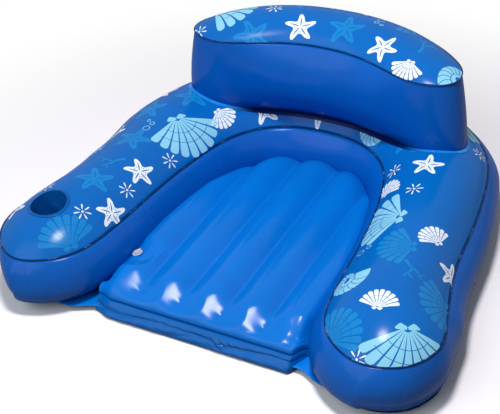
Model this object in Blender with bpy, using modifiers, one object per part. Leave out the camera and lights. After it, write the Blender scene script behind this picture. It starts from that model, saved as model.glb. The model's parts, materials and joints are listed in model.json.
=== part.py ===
"""Inflatable pool chair.

A horseshoe float ring of welded vinyl carries a backrest bolster on its rear crown,
a channelled seat pad between its arms and a cup pocket in the arm at -X.
Every chamber is a thin film shell: crowned panels and bulging walls meet at flat weld lips.
Metres, +Z up. The open front of the ring faces -Y and the backrest stands at +Y.
The origin is at the middle of the object's plan, on the surface that it stands on.
"""
from math import cos, pi, radians, sin, sqrt

import bmesh
import bpy
from mathutils import Matrix, Vector
from mathutils.bvhtree import BVHTree

# Film and welds
FILM = 0.0005
GAP = 0.0003
LIP = 0.004
MERGE = 0.00001

# Float ring
SEAM_HALF_WIDTH = 0.459
SEAM_HALF_DEPTH = 0.418
LOWER_SEAM_HEIGHT = 0.015
RING_WALL_HEIGHT = 0.102
OUTER_BULGE = 0.030
LOBE_BULGE = 0.016
INNER_BULGE = 0.018
CROWN_SHARE = 0.255

# Backrest bolster
BACKREST_WIDTH_SHARE = 0.63399
BACKREST_BASE_FLARE = 0.018
BACKREST_SEAM_RISE = 0.200
BACKREST_FRONT_BULGE = 0.040
BACKREST_REAR_BULGE = 0.022
BACKREST_END_BULGE = 0.003
BACKREST_BULGE_SPAN = 0.53
BACKREST_CROWN_SHARE = 0.225
BACKREST_FLANGE = 0.008
BACKREST_WELD_RISE = 0.0009

# Seat pad
CHANNEL_PITCH_SHARE = 0.18954
CHANNELS = 5
SEAT_FRONT_SHARE = 0.89713
SEAT_REAR_CORNER_SHARE = 0.21531
SEAT_INSET = 0.009
SEAT_RISE = 0.048
FRONT_WELD_RISE = 0.036
FRONT_ROLL = 0.040
SIDE_ROLL = 0.032
REAR_ROLL = 0.060
GROOVE_SHARE = 0.30
GROOVE_START = 0.050
GROOVE_FADE = 0.040
APRON_CORNER_MARGIN = 0.004
APRON_BULGE = 0.004
APRON_DROP = 0.0024
RIB_FRONT_MARGIN = 0.105
RIB_REAR_MARGIN = 0.140
FLOOR_SHEET_TUCK = 0.001
FLOOR_SHEET_FRONT_MARGIN = 0.008

# Cup holder
CUP_X_SHARE = -0.76688
CUP_Y_SHARE = -0.71292
CUP_RADIUS = 0.036
CUP_BASE_RADIUS = 0.035
CUP_DEPTH = 0.098
CUP_FLANGE = 0.006

# Inflation valves, measured along each valve's own axis
VALVE_FLANGE_RADIUS = 0.0105
VALVE_FLANGE_THICKNESS = 0.0012
STEM_RADIUS = 0.0060
STEM_BORE = 0.0040
STEM_DEPTH = 0.013
STEM_CLEARANCE = 0.0004
COLLAR_RADIUS = 0.0074
COLLAR_THICKNESS = 0.0012
LUG_WIDTH = 0.004
LUG_OVERHANG = 0.0005
STRAP_REACH = 0.0110
STRAP_WIDTH = 0.003
STRAP_THICKNESS = 0.0008
PLUG_CAP_RADIUS = 0.0064
PLUG_CAP_THICKNESS = 0.0015
PLUG_SHAFT_RADIUS = 0.0034
PLUG_SHAFT_LENGTH = 0.0026
UNION_OVERLAP = 0.001
SEAT_VALVE_X_SHARE = -0.41394
SEAT_VALVE_Y_SHARE = -0.60287

# Plan of the ring's seam, half of it, from the front tip of a lobe to the rear centre,
# as shares of the seam's half width and half depth
LOBE_TIP_SHARE = (0.778, -1.0)
INNER_SEAM_SHARES = (
    (0.671, -0.967), (0.588, -0.890), (0.532, -0.761), (0.505, -0.543), (0.490, -0.340),
    (0.471, -0.136), (0.440, 0.055), (0.383, 0.270), (0.279, 0.421), (0.144, 0.498), (0.0, 0.517),
)
OUTER_SEAM_SHARES = (
    (0.885, -0.969), (0.961, -0.890), (1.0, -0.734), (0.965, -0.526), (0.917, -0.316),
    (0.893, -0.089), (0.869, 0.139), (0.814, 0.416), (0.694, 0.694), (0.425, 0.934), (0.0, 1.0),
)

# Plan of the bolster, half of it, from the tip of an end to the centre,
# as shares of its half width and of the ring's half depth
BOLSTER_TIP_SHARE = (1.0, 0.486)
BOLSTER_FRONT_SHARES = (
    (0.955, 0.421), (0.842, 0.383), (0.687, 0.383), (0.481, 0.438), (0.241, 0.500), (0.0, 0.519),
)
BOLSTER_BACK_SHARES = (
    (0.972, 0.572), (0.868, 0.660), (0.698, 0.750), (0.487, 0.821), (0.243, 0.865), (0.0, 0.878),
)
BASE_TIP_SHARE = (1.0, 0.493)
BASE_FRONT_SHARES = (
    (0.958, 0.421), (0.841, 0.373), (0.686, 0.383), (0.479, 0.467), (0.243, 0.541), (0.0, 0.562),
)
BASE_BACK_SHARES = (
    (0.973, 0.583), (0.873, 0.676), (0.703, 0.770), (0.489, 0.843), (0.245, 0.885), (0.0, 0.898),
)

# Mesh density
RING_STEPS = 2
BOLSTER_STEPS = 3
CROWN_CELLS = 7
WALL_CELLS = 5
CHANNEL_CELLS = 6
SEAT_ROW_SHARES = (0.0, 0.012, 0.035, 0.07, 0.12, 0.19, 0.30, 0.46, 0.62, 0.75, 0.85, 0.93, 0.98, 1.0)
APRON_CELLS = 3
BACKREST_WALL_CELLS = 7
CUP_SIDES = 32
TURNED_STEPS = 20
LAY_SAMPLES = 8
LEVELLING_PASSES = 3
SHARP_ANGLE = 50.0

RING_BLUE = (0.010, 0.130, 0.560)
WALL_BLUE = (0.006, 0.095, 0.450)
SEAT_BLUE = (0.008, 0.210, 0.780)
POCKET_BLUE = (0.004, 0.035, 0.250)
VALVE_CLEAR = (0.780, 0.840, 0.900)
SOFT_GLOSS = 0.28

UPPER_SEAM_HEIGHT = LOWER_SEAM_HEIGHT + RING_WALL_HEIGHT
BACKREST_SEAM_HEIGHT = UPPER_SEAM_HEIGHT + BACKREST_SEAM_RISE
SKIN = GAP / 2 + FILM
FLOOR_SHEET_TOP = LOWER_SEAM_HEIGHT - SKIN - GAP
SEAT_LIP_HEIGHT = FLOOR_SHEET_TOP + GAP + FILM
BACKREST_HALF_WIDTH = SEAM_HALF_WIDTH * BACKREST_WIDTH_SHARE
CHANNEL_PITCH = SEAM_HALF_WIDTH * CHANNEL_PITCH_SHARE
SEAT_HALF_WIDTH = CHANNEL_PITCH * CHANNELS / 2
SEAT_FRONT = SEAM_HALF_DEPTH * SEAT_FRONT_SHARE
SEAT_REAR_CORNER = SEAM_HALF_DEPTH * SEAT_REAR_CORNER_SHARE
CUP_X = SEAM_HALF_WIDTH * CUP_X_SHARE
CUP_Y = SEAM_HALF_DEPTH * CUP_Y_SHARE
SEAT_VALVE_X = SEAM_HALF_WIDTH * SEAT_VALVE_X_SHARE
SEAT_VALVE_Y = SEAM_HALF_DEPTH * SEAT_VALVE_Y_SHARE
HOLE_RADIUS = STEM_RADIUS + STEM_CLEARANCE
COLLAR_BASE = VALVE_FLANGE_THICKNESS + GAP
CAP_BASE = COLLAR_BASE + COLLAR_THICKNESS + GAP
HINGE_HEIGHT = CAP_BASE + STRAP_THICKNESS / 2


def clear_scene():
    for item in list(bpy.data.objects):
        bpy.data.objects.remove(item, do_unlink=True)


def new_collection(name):
    collection = bpy.data.collections.new(name)
    bpy.context.scene.collection.children.link(collection)
    return collection


def add_object(name, mesh, collection):
    item = bpy.data.objects.new(name, mesh)
    collection.objects.link(item)
    return item


def add_guide(name, builder, frame, guides):
    """A hidden wire-drawn cutter from a finished bmesh."""
    mesh = bpy.data.meshes.new(name)
    builder.to_mesh(mesh)
    builder.free()
    item = add_object(name, mesh, guides)
    item.matrix_world = frame
    item.hide_render = True
    item.display_type = "WIRE"
    return item


def finish_skin(item, colour):
    """Smooth shading with sharp creases kept, and the piece's own material."""
    item.data.shade_smooth()
    item.data.set_sharp_from_angle(angle=radians(SHARP_ANGLE))
    material = bpy.data.materials.new(item.name)
    material.use_nodes = True
    shader = material.node_tree.nodes["Principled BSDF"]
    shader.inputs["Base Color"].default_value = (*colour, 1.0)
    shader.inputs["Roughness"].default_value = SOFT_GLOSS
    shader.inputs["Metallic"].default_value = 0.0
    material.diffuse_color = (*colour, 1.0)
    item.data.materials.append(material)


def smoothstep(share):
    clipped = min(1.0, max(0.0, share))
    return clipped * clipped * (3.0 - 2.0 * clipped)


def rolled(distance, radius):
    """Height share of an edge that rolls over from its weld within the given radius."""
    share = min(1.0, max(0.0, distance / radius))
    return sqrt(1.0 - (1.0 - share) ** 2)


def arc_height(share, rise):
    """Height of a circular arc at a share of its chord, in chord lengths; rise is its highest."""
    radius = (1.0 / 4 + rise ** 2) / (2.0 * rise)
    return sqrt(radius ** 2 - (share - 1.0 / 2) ** 2) - (radius - rise)


def smooth_loop(points, steps):
    """Points along the closed Catmull-Rom curve through the given plan points."""
    count = len(points)
    loop = []
    for index in range(count):
        before, start, end, after = (points[(index + k) % count] for k in (-1, 0, 1, 2))
        for step in range(steps):
            t = step / steps
            linear = end - before
            square = 2 * before - 5 * start + 4 * end - after
            cubic = 3 * start - before - 3 * end + after
            loop.append((2 * start + linear * t + square * t ** 2 + cubic * t ** 3) / 2)
    return loop


def loop_normals(loop):
    """Outward plan normals of a closed loop that runs clockwise seen from above."""
    count = len(loop)
    result = []
    for index in range(count):
        along = loop[(index + 1) % count] - loop[index - 1]
        result.append(Vector((-along.y, along.x)).normalized())
    return result


def grown(loop, distance):
    """A loop offset outward by one distance, or by one distance for each of its points."""
    distances = distance if isinstance(distance, list) else [distance] * len(loop)
    return [p + n * d for p, n, d in zip(loop, loop_normals(loop), distances)]


def at_height(points, height):
    return [Vector((point.x, point.y, height)) for point in points]


def on_circle(radius, share):
    """A plan point of a circle, running clockwise seen from above."""
    return Vector((cos(2 * pi * share), -sin(2 * pi * share))) * radius


class Outline:
    """A closed plan outline with two tips and two sides that face each other across it."""

    def __init__(self, tip_share, near_shares, far_shares, half_width, steps):
        near, far = (
            [Vector((x * half_width, y * SEAM_HALF_DEPTH)) for x, y in (tip_share, *shares)]
            for shares in (near_shares, far_shares)
        )
        mirror = Vector((-1.0, 1.0))
        far_line = [point * mirror for point in far] + far[-2::-1]
        near_line = [point * mirror for point in near] + near[-2::-1]
        self.loop = smooth_loop(far_line + near_line[-2:0:-1], steps)
        self.turn = (len(far_line) - 1) * steps
        self.far = self.loop[:self.turn + 1]
        self.near = [self.loop[0]] + self.loop[:self.turn - 1:-1]


def film_object(name, strips, inside, colour, collection):
    """A film shell: strips of point rows joined to one skin that faces away from a point."""
    builder = bmesh.new()
    for rows, closed in strips:
        grid = [[builder.verts.new(point) for point in row] for row in rows]
        columns = len(rows[0])
        last = columns if closed else columns - 1
        for upper, lower in zip(grid, grid[1:]):
            for index in range(last):
                following = (index + 1) % columns
                builder.faces.new((upper[index], upper[following], lower[following], lower[index]))
    bmesh.ops.remove_doubles(builder, verts=builder.verts, dist=MERGE)
    bmesh.ops.recalc_face_normals(builder, faces=builder.faces)
    flux = sum(f.calc_area() * f.normal.dot(f.calc_center_median() - inside) for f in builder.faces)
    if flux < 0.0:
        bmesh.ops.reverse_faces(builder, faces=builder.faces)
    mesh = bpy.data.meshes.new(name)
    builder.to_mesh(mesh)
    builder.free()
    item = add_object(name, mesh, collection)
    wall = item.modifiers.new("film", "SOLIDIFY")
    wall.thickness = FILM
    wall.offset = -1.0
    wall.use_even_offset = True
    wall.use_quality_normals = True
    finish_skin(item, colour)
    return item


def cut(item, cutter, operation="DIFFERENCE"):
    modifier = item.modifiers.new(cutter.name, "BOOLEAN")
    modifier.operation = operation
    modifier.solver = "EXACT"
    modifier.object = cutter


def add_drill(name, radius, length, frame, guides):
    """A round cutter along a frame's Z axis, centred on the frame."""
    builder = bmesh.new()
    bmesh.ops.create_cone(
        builder, cap_ends=True, segments=CUP_SIDES, radius1=radius, radius2=radius, depth=length
    )
    return add_guide(name, builder, frame, guides)


def skin_tree(item):
    """A search tree of a shell's evaluated faces, for finding where another piece lies on it."""
    bpy.context.view_layer.update()
    return BVHTree.FromObject(item, bpy.context.evaluated_depsgraph_get())


def crown_rows(outline, edge_height, direction, rise):
    """Ribs across an outline, bowed up or down and flattened on the standing surface."""
    rows = []
    for near, far in zip(outline.near, outline.far):
        chord = (far - near).length
        row = []
        for cell in range(CROWN_CELLS + 1):
            share = (1.0 - cos(pi * cell / CROWN_CELLS)) / 2
            bow = arc_height(share, rise) if 0 < cell < CROWN_CELLS else 0.0
            plan = near.lerp(far, share)
            row.append(Vector((plan.x, plan.y, max(0.0, edge_height + direction * chord * bow))))
        rows.append(row)
    return rows


def add_crowned_panel(name, outline, seam_height, direction, rise, colour, collection):
    """A crowned panel with a flat weld lip round its outline; direction is 1 up, -1 down."""
    height = seam_height + direction * SKIN
    rows = crown_rows(outline, height, direction, rise)
    lip = [at_height(outline.loop, height), at_height(grown(outline.loop, LIP), height)]
    inside = Vector((0.0, 0.0, seam_height - direction * SEAM_HALF_WIDTH))
    return film_object(name, [(rows, False), (lip, True)], inside, colour, collection)


def ring_bulges(outline):
    """How far the ring's wall bows out round the loop; less beside the seat and the lobes."""
    bulges = []
    for index, (point, normal) in enumerate(zip(outline.loop, loop_normals(outline.loop))):
        if index > outline.turn:
            share = smoothstep((point.y + SEAM_HALF_DEPTH) / (SEAM_HALF_DEPTH / 2))
            bulges.append(OUTER_BULGE + (INNER_BULGE - OUTER_BULGE) * share)
        else:
            share = smoothstep(-(point.y + SEAM_HALF_DEPTH / 2) / (SEAM_HALF_DEPTH / 4))
            bulges.append(OUTER_BULGE + (LOBE_BULGE - OUTER_BULGE) * share * abs(normal.x))
    return bulges


def add_ring_wall(outline, collection):
    """One strip round the ring between its two seams, with a lip at each edge."""
    top = UPPER_SEAM_HEIGHT - SKIN
    bottom = LOWER_SEAM_HEIGHT + SKIN
    lip = grown(outline.loop, LIP)
    bulges = ring_bulges(outline)
    rows = [at_height(lip, top)]
    for cell in range(WALL_CELLS + 1):
        share = cell / WALL_CELLS
        bowed = grown(outline.loop, [bulge * sin(pi * share) for bulge in bulges])
        rows.append(at_height(bowed, top + (bottom - top) * share))
    rows.append(at_height(lip, bottom))
    inside = Vector((0.0, 0.0, (top + bottom) / 2))
    return film_object("ring_side_wall", [(rows, True)], inside, WALL_BLUE, collection)


def laid_on(tree, plan_loop, rise=0.0):
    """A loop laid on a curved skin, lifted where a straight edge would cut into the skin."""
    def skin(plan):
        start = Vector((plan.x, plan.y, SEAM_HALF_WIDTH))
        spot, normal, _, _ = tree.ray_cast(start, Vector((0.0, 0.0, -1.0)))
        return spot.z + (GAP + FILM + rise) / abs(normal.z)

    heights = [skin(plan) for plan in plan_loop]
    count = len(plan_loop)
    lifts = [0.0] * count
    for index in range(count):
        following = (index + 1) % count
        for step in range(1, LAY_SAMPLES):
            share = step / LAY_SAMPLES
            chord = heights[index] * (1.0 - share) + heights[following] * share
            short = skin(plan_loop[index].lerp(plan_loop[following], share)) - chord
            lifts[index] = max(lifts[index], short)
            lifts[following] = max(lifts[following], short)
    return [Vector((p.x, p.y, h + lift)) for p, h, lift in zip(plan_loop, heights, lifts)]


def backrest_bulges(outline):
    """How far the bolster's wall bows out: most in its concave front, least round its ends."""
    bulges = []
    span = BACKREST_HALF_WIDTH * BACKREST_BULGE_SPAN
    for index, point in enumerate(outline.loop):
        most = BACKREST_FRONT_BULGE if index > outline.turn else BACKREST_REAR_BULGE
        share = 1.0 / (1.0 + (point.x / span) ** 6)
        bulges.append(BACKREST_END_BULGE + (most - BACKREST_END_BULGE) * share)
    return bulges


def add_backrest_wall(top_outline, base_outline, ring_tree, collection):
    """The bolster's wall, from its top seam down to a flange welded on the ring's crown."""
    top = BACKREST_SEAM_HEIGHT - SKIN
    base = laid_on(ring_tree, base_outline.loop, BACKREST_WELD_RISE)
    flange = laid_on(ring_tree, grown(base_outline.loop, BACKREST_FLANGE), BACKREST_WELD_RISE)
    rows = [at_height(grown(top_outline.loop, LIP), top), at_height(top_outline.loop, top)]
    normals = loop_normals(base_outline.loop)
    bulges = backrest_bulges(top_outline)
    for cell in range(1, BACKREST_WALL_CELLS):
        share = cell / BACKREST_WALL_CELLS
        row = []
        for upper, lower, normal, bulge in zip(rows[1], base, normals, bulges):
            chord = (lower - upper).length
            bow = chord * arc_height(share, bulge / chord)
            row.append(upper.lerp(lower, share) + Vector((normal.x, normal.y, 0.0)) * bow)
        rows.append(row)
    rows += [base, flange]
    inside = Vector((0.0, 0.0, (top + UPPER_SEAM_HEIGHT) / 2))
    return film_object("backrest_side_wall", [(rows, True)], inside, WALL_BLUE, collection)


def add_cup_pocket(ring_tree, collection):
    """A round pocket hung from a flange on the crown of the arm at -X."""
    centre = Vector((CUP_X, CUP_Y))
    flange_circle, rim_circle, base_circle = (
        [centre + on_circle(radius, index / CUP_SIDES) for index in range(CUP_SIDES)]
        for radius in (CUP_RADIUS + CUP_FLANGE, CUP_RADIUS, CUP_BASE_RADIUS)
    )
    flange = laid_on(ring_tree, flange_circle)
    rim = laid_on(ring_tree, rim_circle)
    floor = sum(point.z for point in rim) / CUP_SIDES - CUP_DEPTH
    base = at_height(base_circle, floor)
    middle = [upper.lerp(lower, 1 / 2) for upper, lower in zip(rim, base)]
    pole = at_height([centre] * CUP_SIDES, floor)
    inside = Vector((0.0, 0.0, -SEAM_HALF_WIDTH))
    rows = [flange, rim, middle, base, pole]
    return film_object("cup_holder_pocket", [(rows, True)], inside, POCKET_BLUE, collection)


def half_width_at(line, depth):
    """Half width of the well at a depth, from the right half of its edge, front to rear."""
    for front, rear in zip(line, line[1:]):
        if front.y <= depth <= rear.y:
            return front.x + (rear.x - front.x) * (depth - front.y) / (rear.y - front.y)
    return line[-1].x


def depth_at(line, width):
    """Depth of the well at a distance from its middle, from the right half of its edge."""
    for wide, narrow in zip(line[-2::-1], line[::-1]):
        if narrow.x <= width <= wide.x:
            return narrow.y + (wide.y - narrow.y) * (width - narrow.x) / (wide.x - narrow.x)
    return line[-1].y


def well_edge(outline, inset):
    """Right half of the ring's inner seam set in from the ring, from the lobe to the rear."""
    loop = grown(outline.loop, inset)
    half = loop[outline.turn + 1:]
    return half[:len(half) // 2 + 1]


def seat_columns(edge):
    """The pad's right half in plan, as columns along the channels, with each one's groove share."""
    front = -SEAT_FRONT
    columns = []
    shares = []
    cells = CHANNEL_CELLS // 2 + CHANNEL_CELLS * (CHANNELS // 2 - 1)
    for cell in range(cells + 1):
        x = CHANNEL_PITCH * cell / CHANNEL_CELLS
        rear = depth_at(edge, x)
        columns.append([Vector((x, front + (rear - front) * share)) for share in SEAT_ROW_SHARES])
        shares.append(((cell + CHANNEL_CELLS // 2) % CHANNEL_CELLS) / CHANNEL_CELLS)
    groove = columns[-1]
    side = []
    for share in SEAT_ROW_SHARES:
        depth = front + (SEAT_REAR_CORNER - front) * share
        side.append(Vector((min(SEAT_HALF_WIDTH, half_width_at(edge, depth)), depth)))
    for cell in range(1, CHANNEL_CELLS + 1):
        blend = sin(pi / 2 * cell / CHANNEL_CELLS)
        column = [inner.lerp(outer, blend) for inner, outer in zip(groove, side)]
        if cell < CHANNEL_CELLS:
            column[-1].y = depth_at(edge, column[-1].x)
        columns.append(column)
        shares.append(min(1 / 2, blend))
    return columns, shares


def edge_distance(point, border):
    """Distance of a plan point from an open border line."""
    best = SEAM_HALF_WIDTH
    for start, end in zip(border, border[1:]):
        along = end - start
        share = min(1.0, max(0.0, (point - start).dot(along) / along.length_squared))
        best = min(best, (start + along * share - point).length)
    return best


def seat_height(point, border, channel_share):
    """Height of the pad's top above its weld, with grooves between the channels."""
    front = point.y + SEAT_FRONT
    radius = SIDE_ROLL + (REAR_ROLL - SIDE_ROLL) * smoothstep(point.y / SEAT_REAR_CORNER)
    lift = FRONT_WELD_RISE + (SEAT_RISE - FRONT_WELD_RISE) * rolled(front, FRONT_ROLL)
    depth = GROOVE_SHARE * smoothstep((front - GROOVE_START) / GROOVE_FADE)
    groove = depth * (2.0 * channel_share - 1.0) ** 2
    return lift * (1.0 - groove) * rolled(edge_distance(point, border), radius)


def seat_grid(edge):
    """Rows of the pad's top from front to rear, each running from left to right."""
    half, shares = seat_columns(edge)
    border = [column[-1] for column in half] + half[-1][-2::-1]
    columns = []
    for column, channel_share in zip(half, shares):
        points = []
        for plan in column:
            height = SEAT_LIP_HEIGHT + seat_height(plan, border, channel_share)
            points.append(Vector((plan.x, plan.y, height)))
        columns.append(points)
    mirror = Vector((-1.0, 1.0, 1.0))
    full = [[point * mirror for point in column] for column in columns[:0:-1]] + columns
    return [[column[row] for column in full] for row in range(len(SEAT_ROW_SHARES))]


def add_seat_top(rows, collection):
    """The pad's channelled top sheet with a weld lip all round."""
    left = [row[0] for row in rows]
    right = [row[-1] for row in rows]
    border = left + rows[-1][1:] + right[-2::-1] + rows[0][-2:0:-1]
    plan = [Vector((point.x, point.y)) for point in border]
    lip = [Vector((p.x, p.y, q.z)) for p, q in zip(grown(plan, LIP), border)]
    inside = Vector((0.0, 0.0, -SEAM_HALF_WIDTH))
    strips = [(rows, False), ([border, lip], True)]
    return film_object("seat_top_sheet", strips, inside, SEAT_BLUE, collection)


def add_seat_apron(front_row, collection):
    """The pad's upright front panel, between the top sheet's front lip and the floor sheet."""
    limit = SEAT_HALF_WIDTH - APRON_CORNER_MARGIN
    drop = Vector((0.0, 0.0, -APRON_DROP))
    upper = [point + drop for point in front_row if abs(point.x) < limit]
    lower = at_height(upper, SEAT_LIP_HEIGHT)
    forward = Vector((0.0, -LIP, 0.0))
    rows = [[point + forward for point in upper]]
    for cell in range(APRON_CELLS + 1):
        share = cell / APRON_CELLS
        bow = Vector((0.0, -APRON_BULGE * sin(pi * share), 0.0))
        rows.append([a.lerp(b, share) + bow for a, b in zip(upper, lower)])
    rows.append([point + forward for point in lower])
    behind = Vector((0.0, SEAM_HALF_DEPTH, SEAT_LIP_HEIGHT + FRONT_WELD_RISE / 2))
    film_object("seat_front_apron", [(rows, False)], behind, SEAT_BLUE, collection)


def add_floor_sheet(edge, collection):
    """The flat sheet under the pad, tucked beneath the ring's lower lips."""
    front = -SEAT_FRONT - LIP - FLOOR_SHEET_FRONT_MARGIN
    first = Vector((half_width_at(edge, front), front))
    side = [first] + [point for point in edge if point.y > front + LIP]
    rows = [at_height([Vector((-point.x, point.y)), point], FLOOR_SHEET_TOP) for point in side]
    inside = Vector((0.0, 0.0, -SEAM_HALF_WIDTH))
    film_object("seat_floor_sheet", [(rows, False)], inside, SEAT_BLUE, collection)


def add_seat_ribs(edge, collection):
    """Upright film ribs inside the pad that hold its top down at the grooves."""
    top = SEAT_LIP_HEIGHT + SEAT_RISE * (1.0 - GROOVE_SHARE) - (FILM + GAP) * 2
    base = FLOOR_SHEET_TOP + GAP
    for number in range(1, CHANNELS):
        x = CHANNEL_PITCH * (number - CHANNELS / 2)
        ends = (RIB_FRONT_MARGIN - SEAT_FRONT, depth_at(edge, abs(x)) - RIB_REAR_MARGIN)
        rows = [[Vector((x + FILM / 2, y, z)) for y in ends] for z in (top, base)]
        beside = Vector((x - SEAM_HALF_WIDTH, 0.0, 0.0))
        film_object(f"seat_rib_{number}", [(rows, False)], beside, SEAT_BLUE, collection)


def level_axis(tree, spot, axis, side):
    """The normal of the plane through a ring of points on a skin around a spot."""
    across = axis.cross(side)
    hits = []
    for index in range(LAY_SAMPLES):
        turn = on_circle(VALVE_FLANGE_RADIUS, index / LAY_SAMPLES)
        start = spot + side * turn.x + across * turn.y + axis * CUP_RADIUS
        hits.append(tree.ray_cast(start, -axis)[0])
    centre = sum(hits, Vector()) / LAY_SAMPLES
    tilt = Vector()
    for index in range(LAY_SAMPLES):
        tilt += (hits[index] - centre).cross(hits[(index + 1) % LAY_SAMPLES] - centre)
    return (tilt if tilt.dot(axis) > 0.0 else -tilt).normalized()


def valve_frame(tree, spot, axis, hinge):
    """A frame on a skin: Z out of it, X towards the strap, origin just clear of the skin."""
    for _ in range(LEVELLING_PASSES):
        side = (hinge - axis * hinge.dot(axis)).normalized()
        axis = level_axis(tree, spot, axis, side)
    side = (hinge - axis * hinge.dot(axis)).normalized()
    across = axis.cross(side)
    heights = []
    for ring in range(1, LAY_SAMPLES + 1):
        for index in range(CUP_SIDES):
            turn = on_circle(VALVE_FLANGE_RADIUS * ring / LAY_SAMPLES, index / CUP_SIDES)
            start = spot + side * turn.x + across * turn.y + axis * CUP_RADIUS
            heights.append((tree.ray_cast(start, -axis)[0] - spot).dot(axis))
    origin = spot + axis * (max(heights) + GAP)
    turn = Matrix((side, across, axis)).transposed().to_4x4()
    return Matrix.Translation(origin) @ turn


def add_turned(name, profile, closed, collection):
    """A turned body from a profile at +X that runs down its outer side."""
    mesh = bpy.data.meshes.new(name)
    edges = [(index, index + 1) for index in range(len(profile) - 1)]
    if closed:
        edges.append((len(profile) - 1, 0))
    mesh.from_pydata([(x, 0.0, z) for x, z in profile], edges, [])
    item = add_object(name, mesh, collection)
    screw = item.modifiers.new("turned", "SCREW")
    screw.axis = "Z"
    screw.steps = TURNED_STEPS
    screw.render_steps = TURNED_STEPS
    screw.use_merge_vertices = True
    screw.merge_threshold = MERGE
    return item


def add_bar(name, low, high, width, frame, guides):
    """A straight bar along +X between two XZ corners, for a strap or a lug."""
    builder = bmesh.new()
    bmesh.ops.create_cube(builder, size=1.0)
    size = Vector((high[0] - low[0], width, high[1] - low[1]))
    centre = Vector(((low[0] + high[0]) / 2, 0.0, (low[1] + high[1]) / 2))
    for vert in builder.verts:
        vert.co = vert.co * size + centre
    return add_guide(name, builder, frame, guides)


def add_valve_stem(prefix, frame, collection, guides):
    collar_top = COLLAR_BASE + COLLAR_THICKNESS
    profile = [
        (COLLAR_RADIUS, collar_top),
        (COLLAR_RADIUS, COLLAR_BASE),
        (STEM_RADIUS, COLLAR_BASE),
        (STEM_RADIUS, -STEM_DEPTH),
        (STEM_BORE, -STEM_DEPTH),
        (STEM_BORE, collar_top),
    ]
    stem = add_turned(f"{prefix}_valve_stem", profile, True, collection)
    stem.matrix_world = frame
    low = (COLLAR_RADIUS - UNION_OVERLAP, COLLAR_BASE)
    high = (STRAP_REACH + LUG_OVERHANG, collar_top)
    cut(stem, add_bar(f"{prefix}_valve_lug", low, high, LUG_WIDTH, frame, guides), "UNION")
    return stem


def add_valve_plug(prefix, frame, collection, guides):
    """The plug and its strap as one moulding, with its origin on the strap's hinge line."""
    profile = [
        (0.0, CAP_BASE + PLUG_CAP_THICKNESS),
        (PLUG_CAP_RADIUS, CAP_BASE + PLUG_CAP_THICKNESS),
        (PLUG_CAP_RADIUS, CAP_BASE),
        (PLUG_SHAFT_RADIUS, CAP_BASE),
        (PLUG_SHAFT_RADIUS, CAP_BASE - PLUG_SHAFT_LENGTH),
        (0.0, CAP_BASE - PLUG_SHAFT_LENGTH),
    ]
    body = add_turned(f"{prefix}_valve_plug_body", profile, False, guides)
    low = (PLUG_CAP_RADIUS - UNION_OVERLAP, CAP_BASE)
    high = (STRAP_REACH + STRAP_THICKNESS / 2, CAP_BASE + STRAP_THICKNESS)
    strap = add_bar(f"{prefix}_valve_strap", low, high, STRAP_WIDTH, Matrix(), guides)
    cut(body, strap, "UNION")
    bpy.context.view_layer.update()
    evaluated = body.evaluated_get(bpy.context.evaluated_depsgraph_get())
    shape = bpy.data.meshes.new_from_object(evaluated)
    to_hinge = Matrix.Translation(Vector((STRAP_REACH, 0.0, HINGE_HEIGHT)))
    shape.transform(to_hinge.inverted())
    bpy.data.objects.remove(body, do_unlink=True)
    bpy.data.objects.remove(strap, do_unlink=True)
    plug = add_object(f"{prefix}_valve_plug", shape, collection)
    plug.matrix_world = frame @ to_hinge
    return plug


def add_valve(prefix, frame, collection, guides):
    """A push-in valve: a flange on the film, a sliding stem in it and a plug on a strap."""
    profile = [
        (VALVE_FLANGE_RADIUS, VALVE_FLANGE_THICKNESS),
        (VALVE_FLANGE_RADIUS, 0.0),
        (HOLE_RADIUS, 0.0),
        (HOLE_RADIUS, VALVE_FLANGE_THICKNESS),
    ]
    flange = add_turned(f"{prefix}_valve_flange", profile, True, collection)
    flange.matrix_world = frame
    stem = add_valve_stem(prefix, frame, collection, guides)
    plug = add_valve_plug(prefix, frame, collection, guides)
    for item in (flange, stem, plug):
        finish_skin(item, VALVE_CLEAR)
    return add_drill(f"{prefix}_valve_drill", HOLE_RADIUS, STEM_DEPTH, frame, guides)


def nearest_facet(item, target):
    """Centre and outward normal of the film facet whose centre is nearest to a point."""
    face = min(item.data.polygons, key=lambda facet: (facet.center - target).length)
    return face.center.copy(), face.normal.copy()


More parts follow.
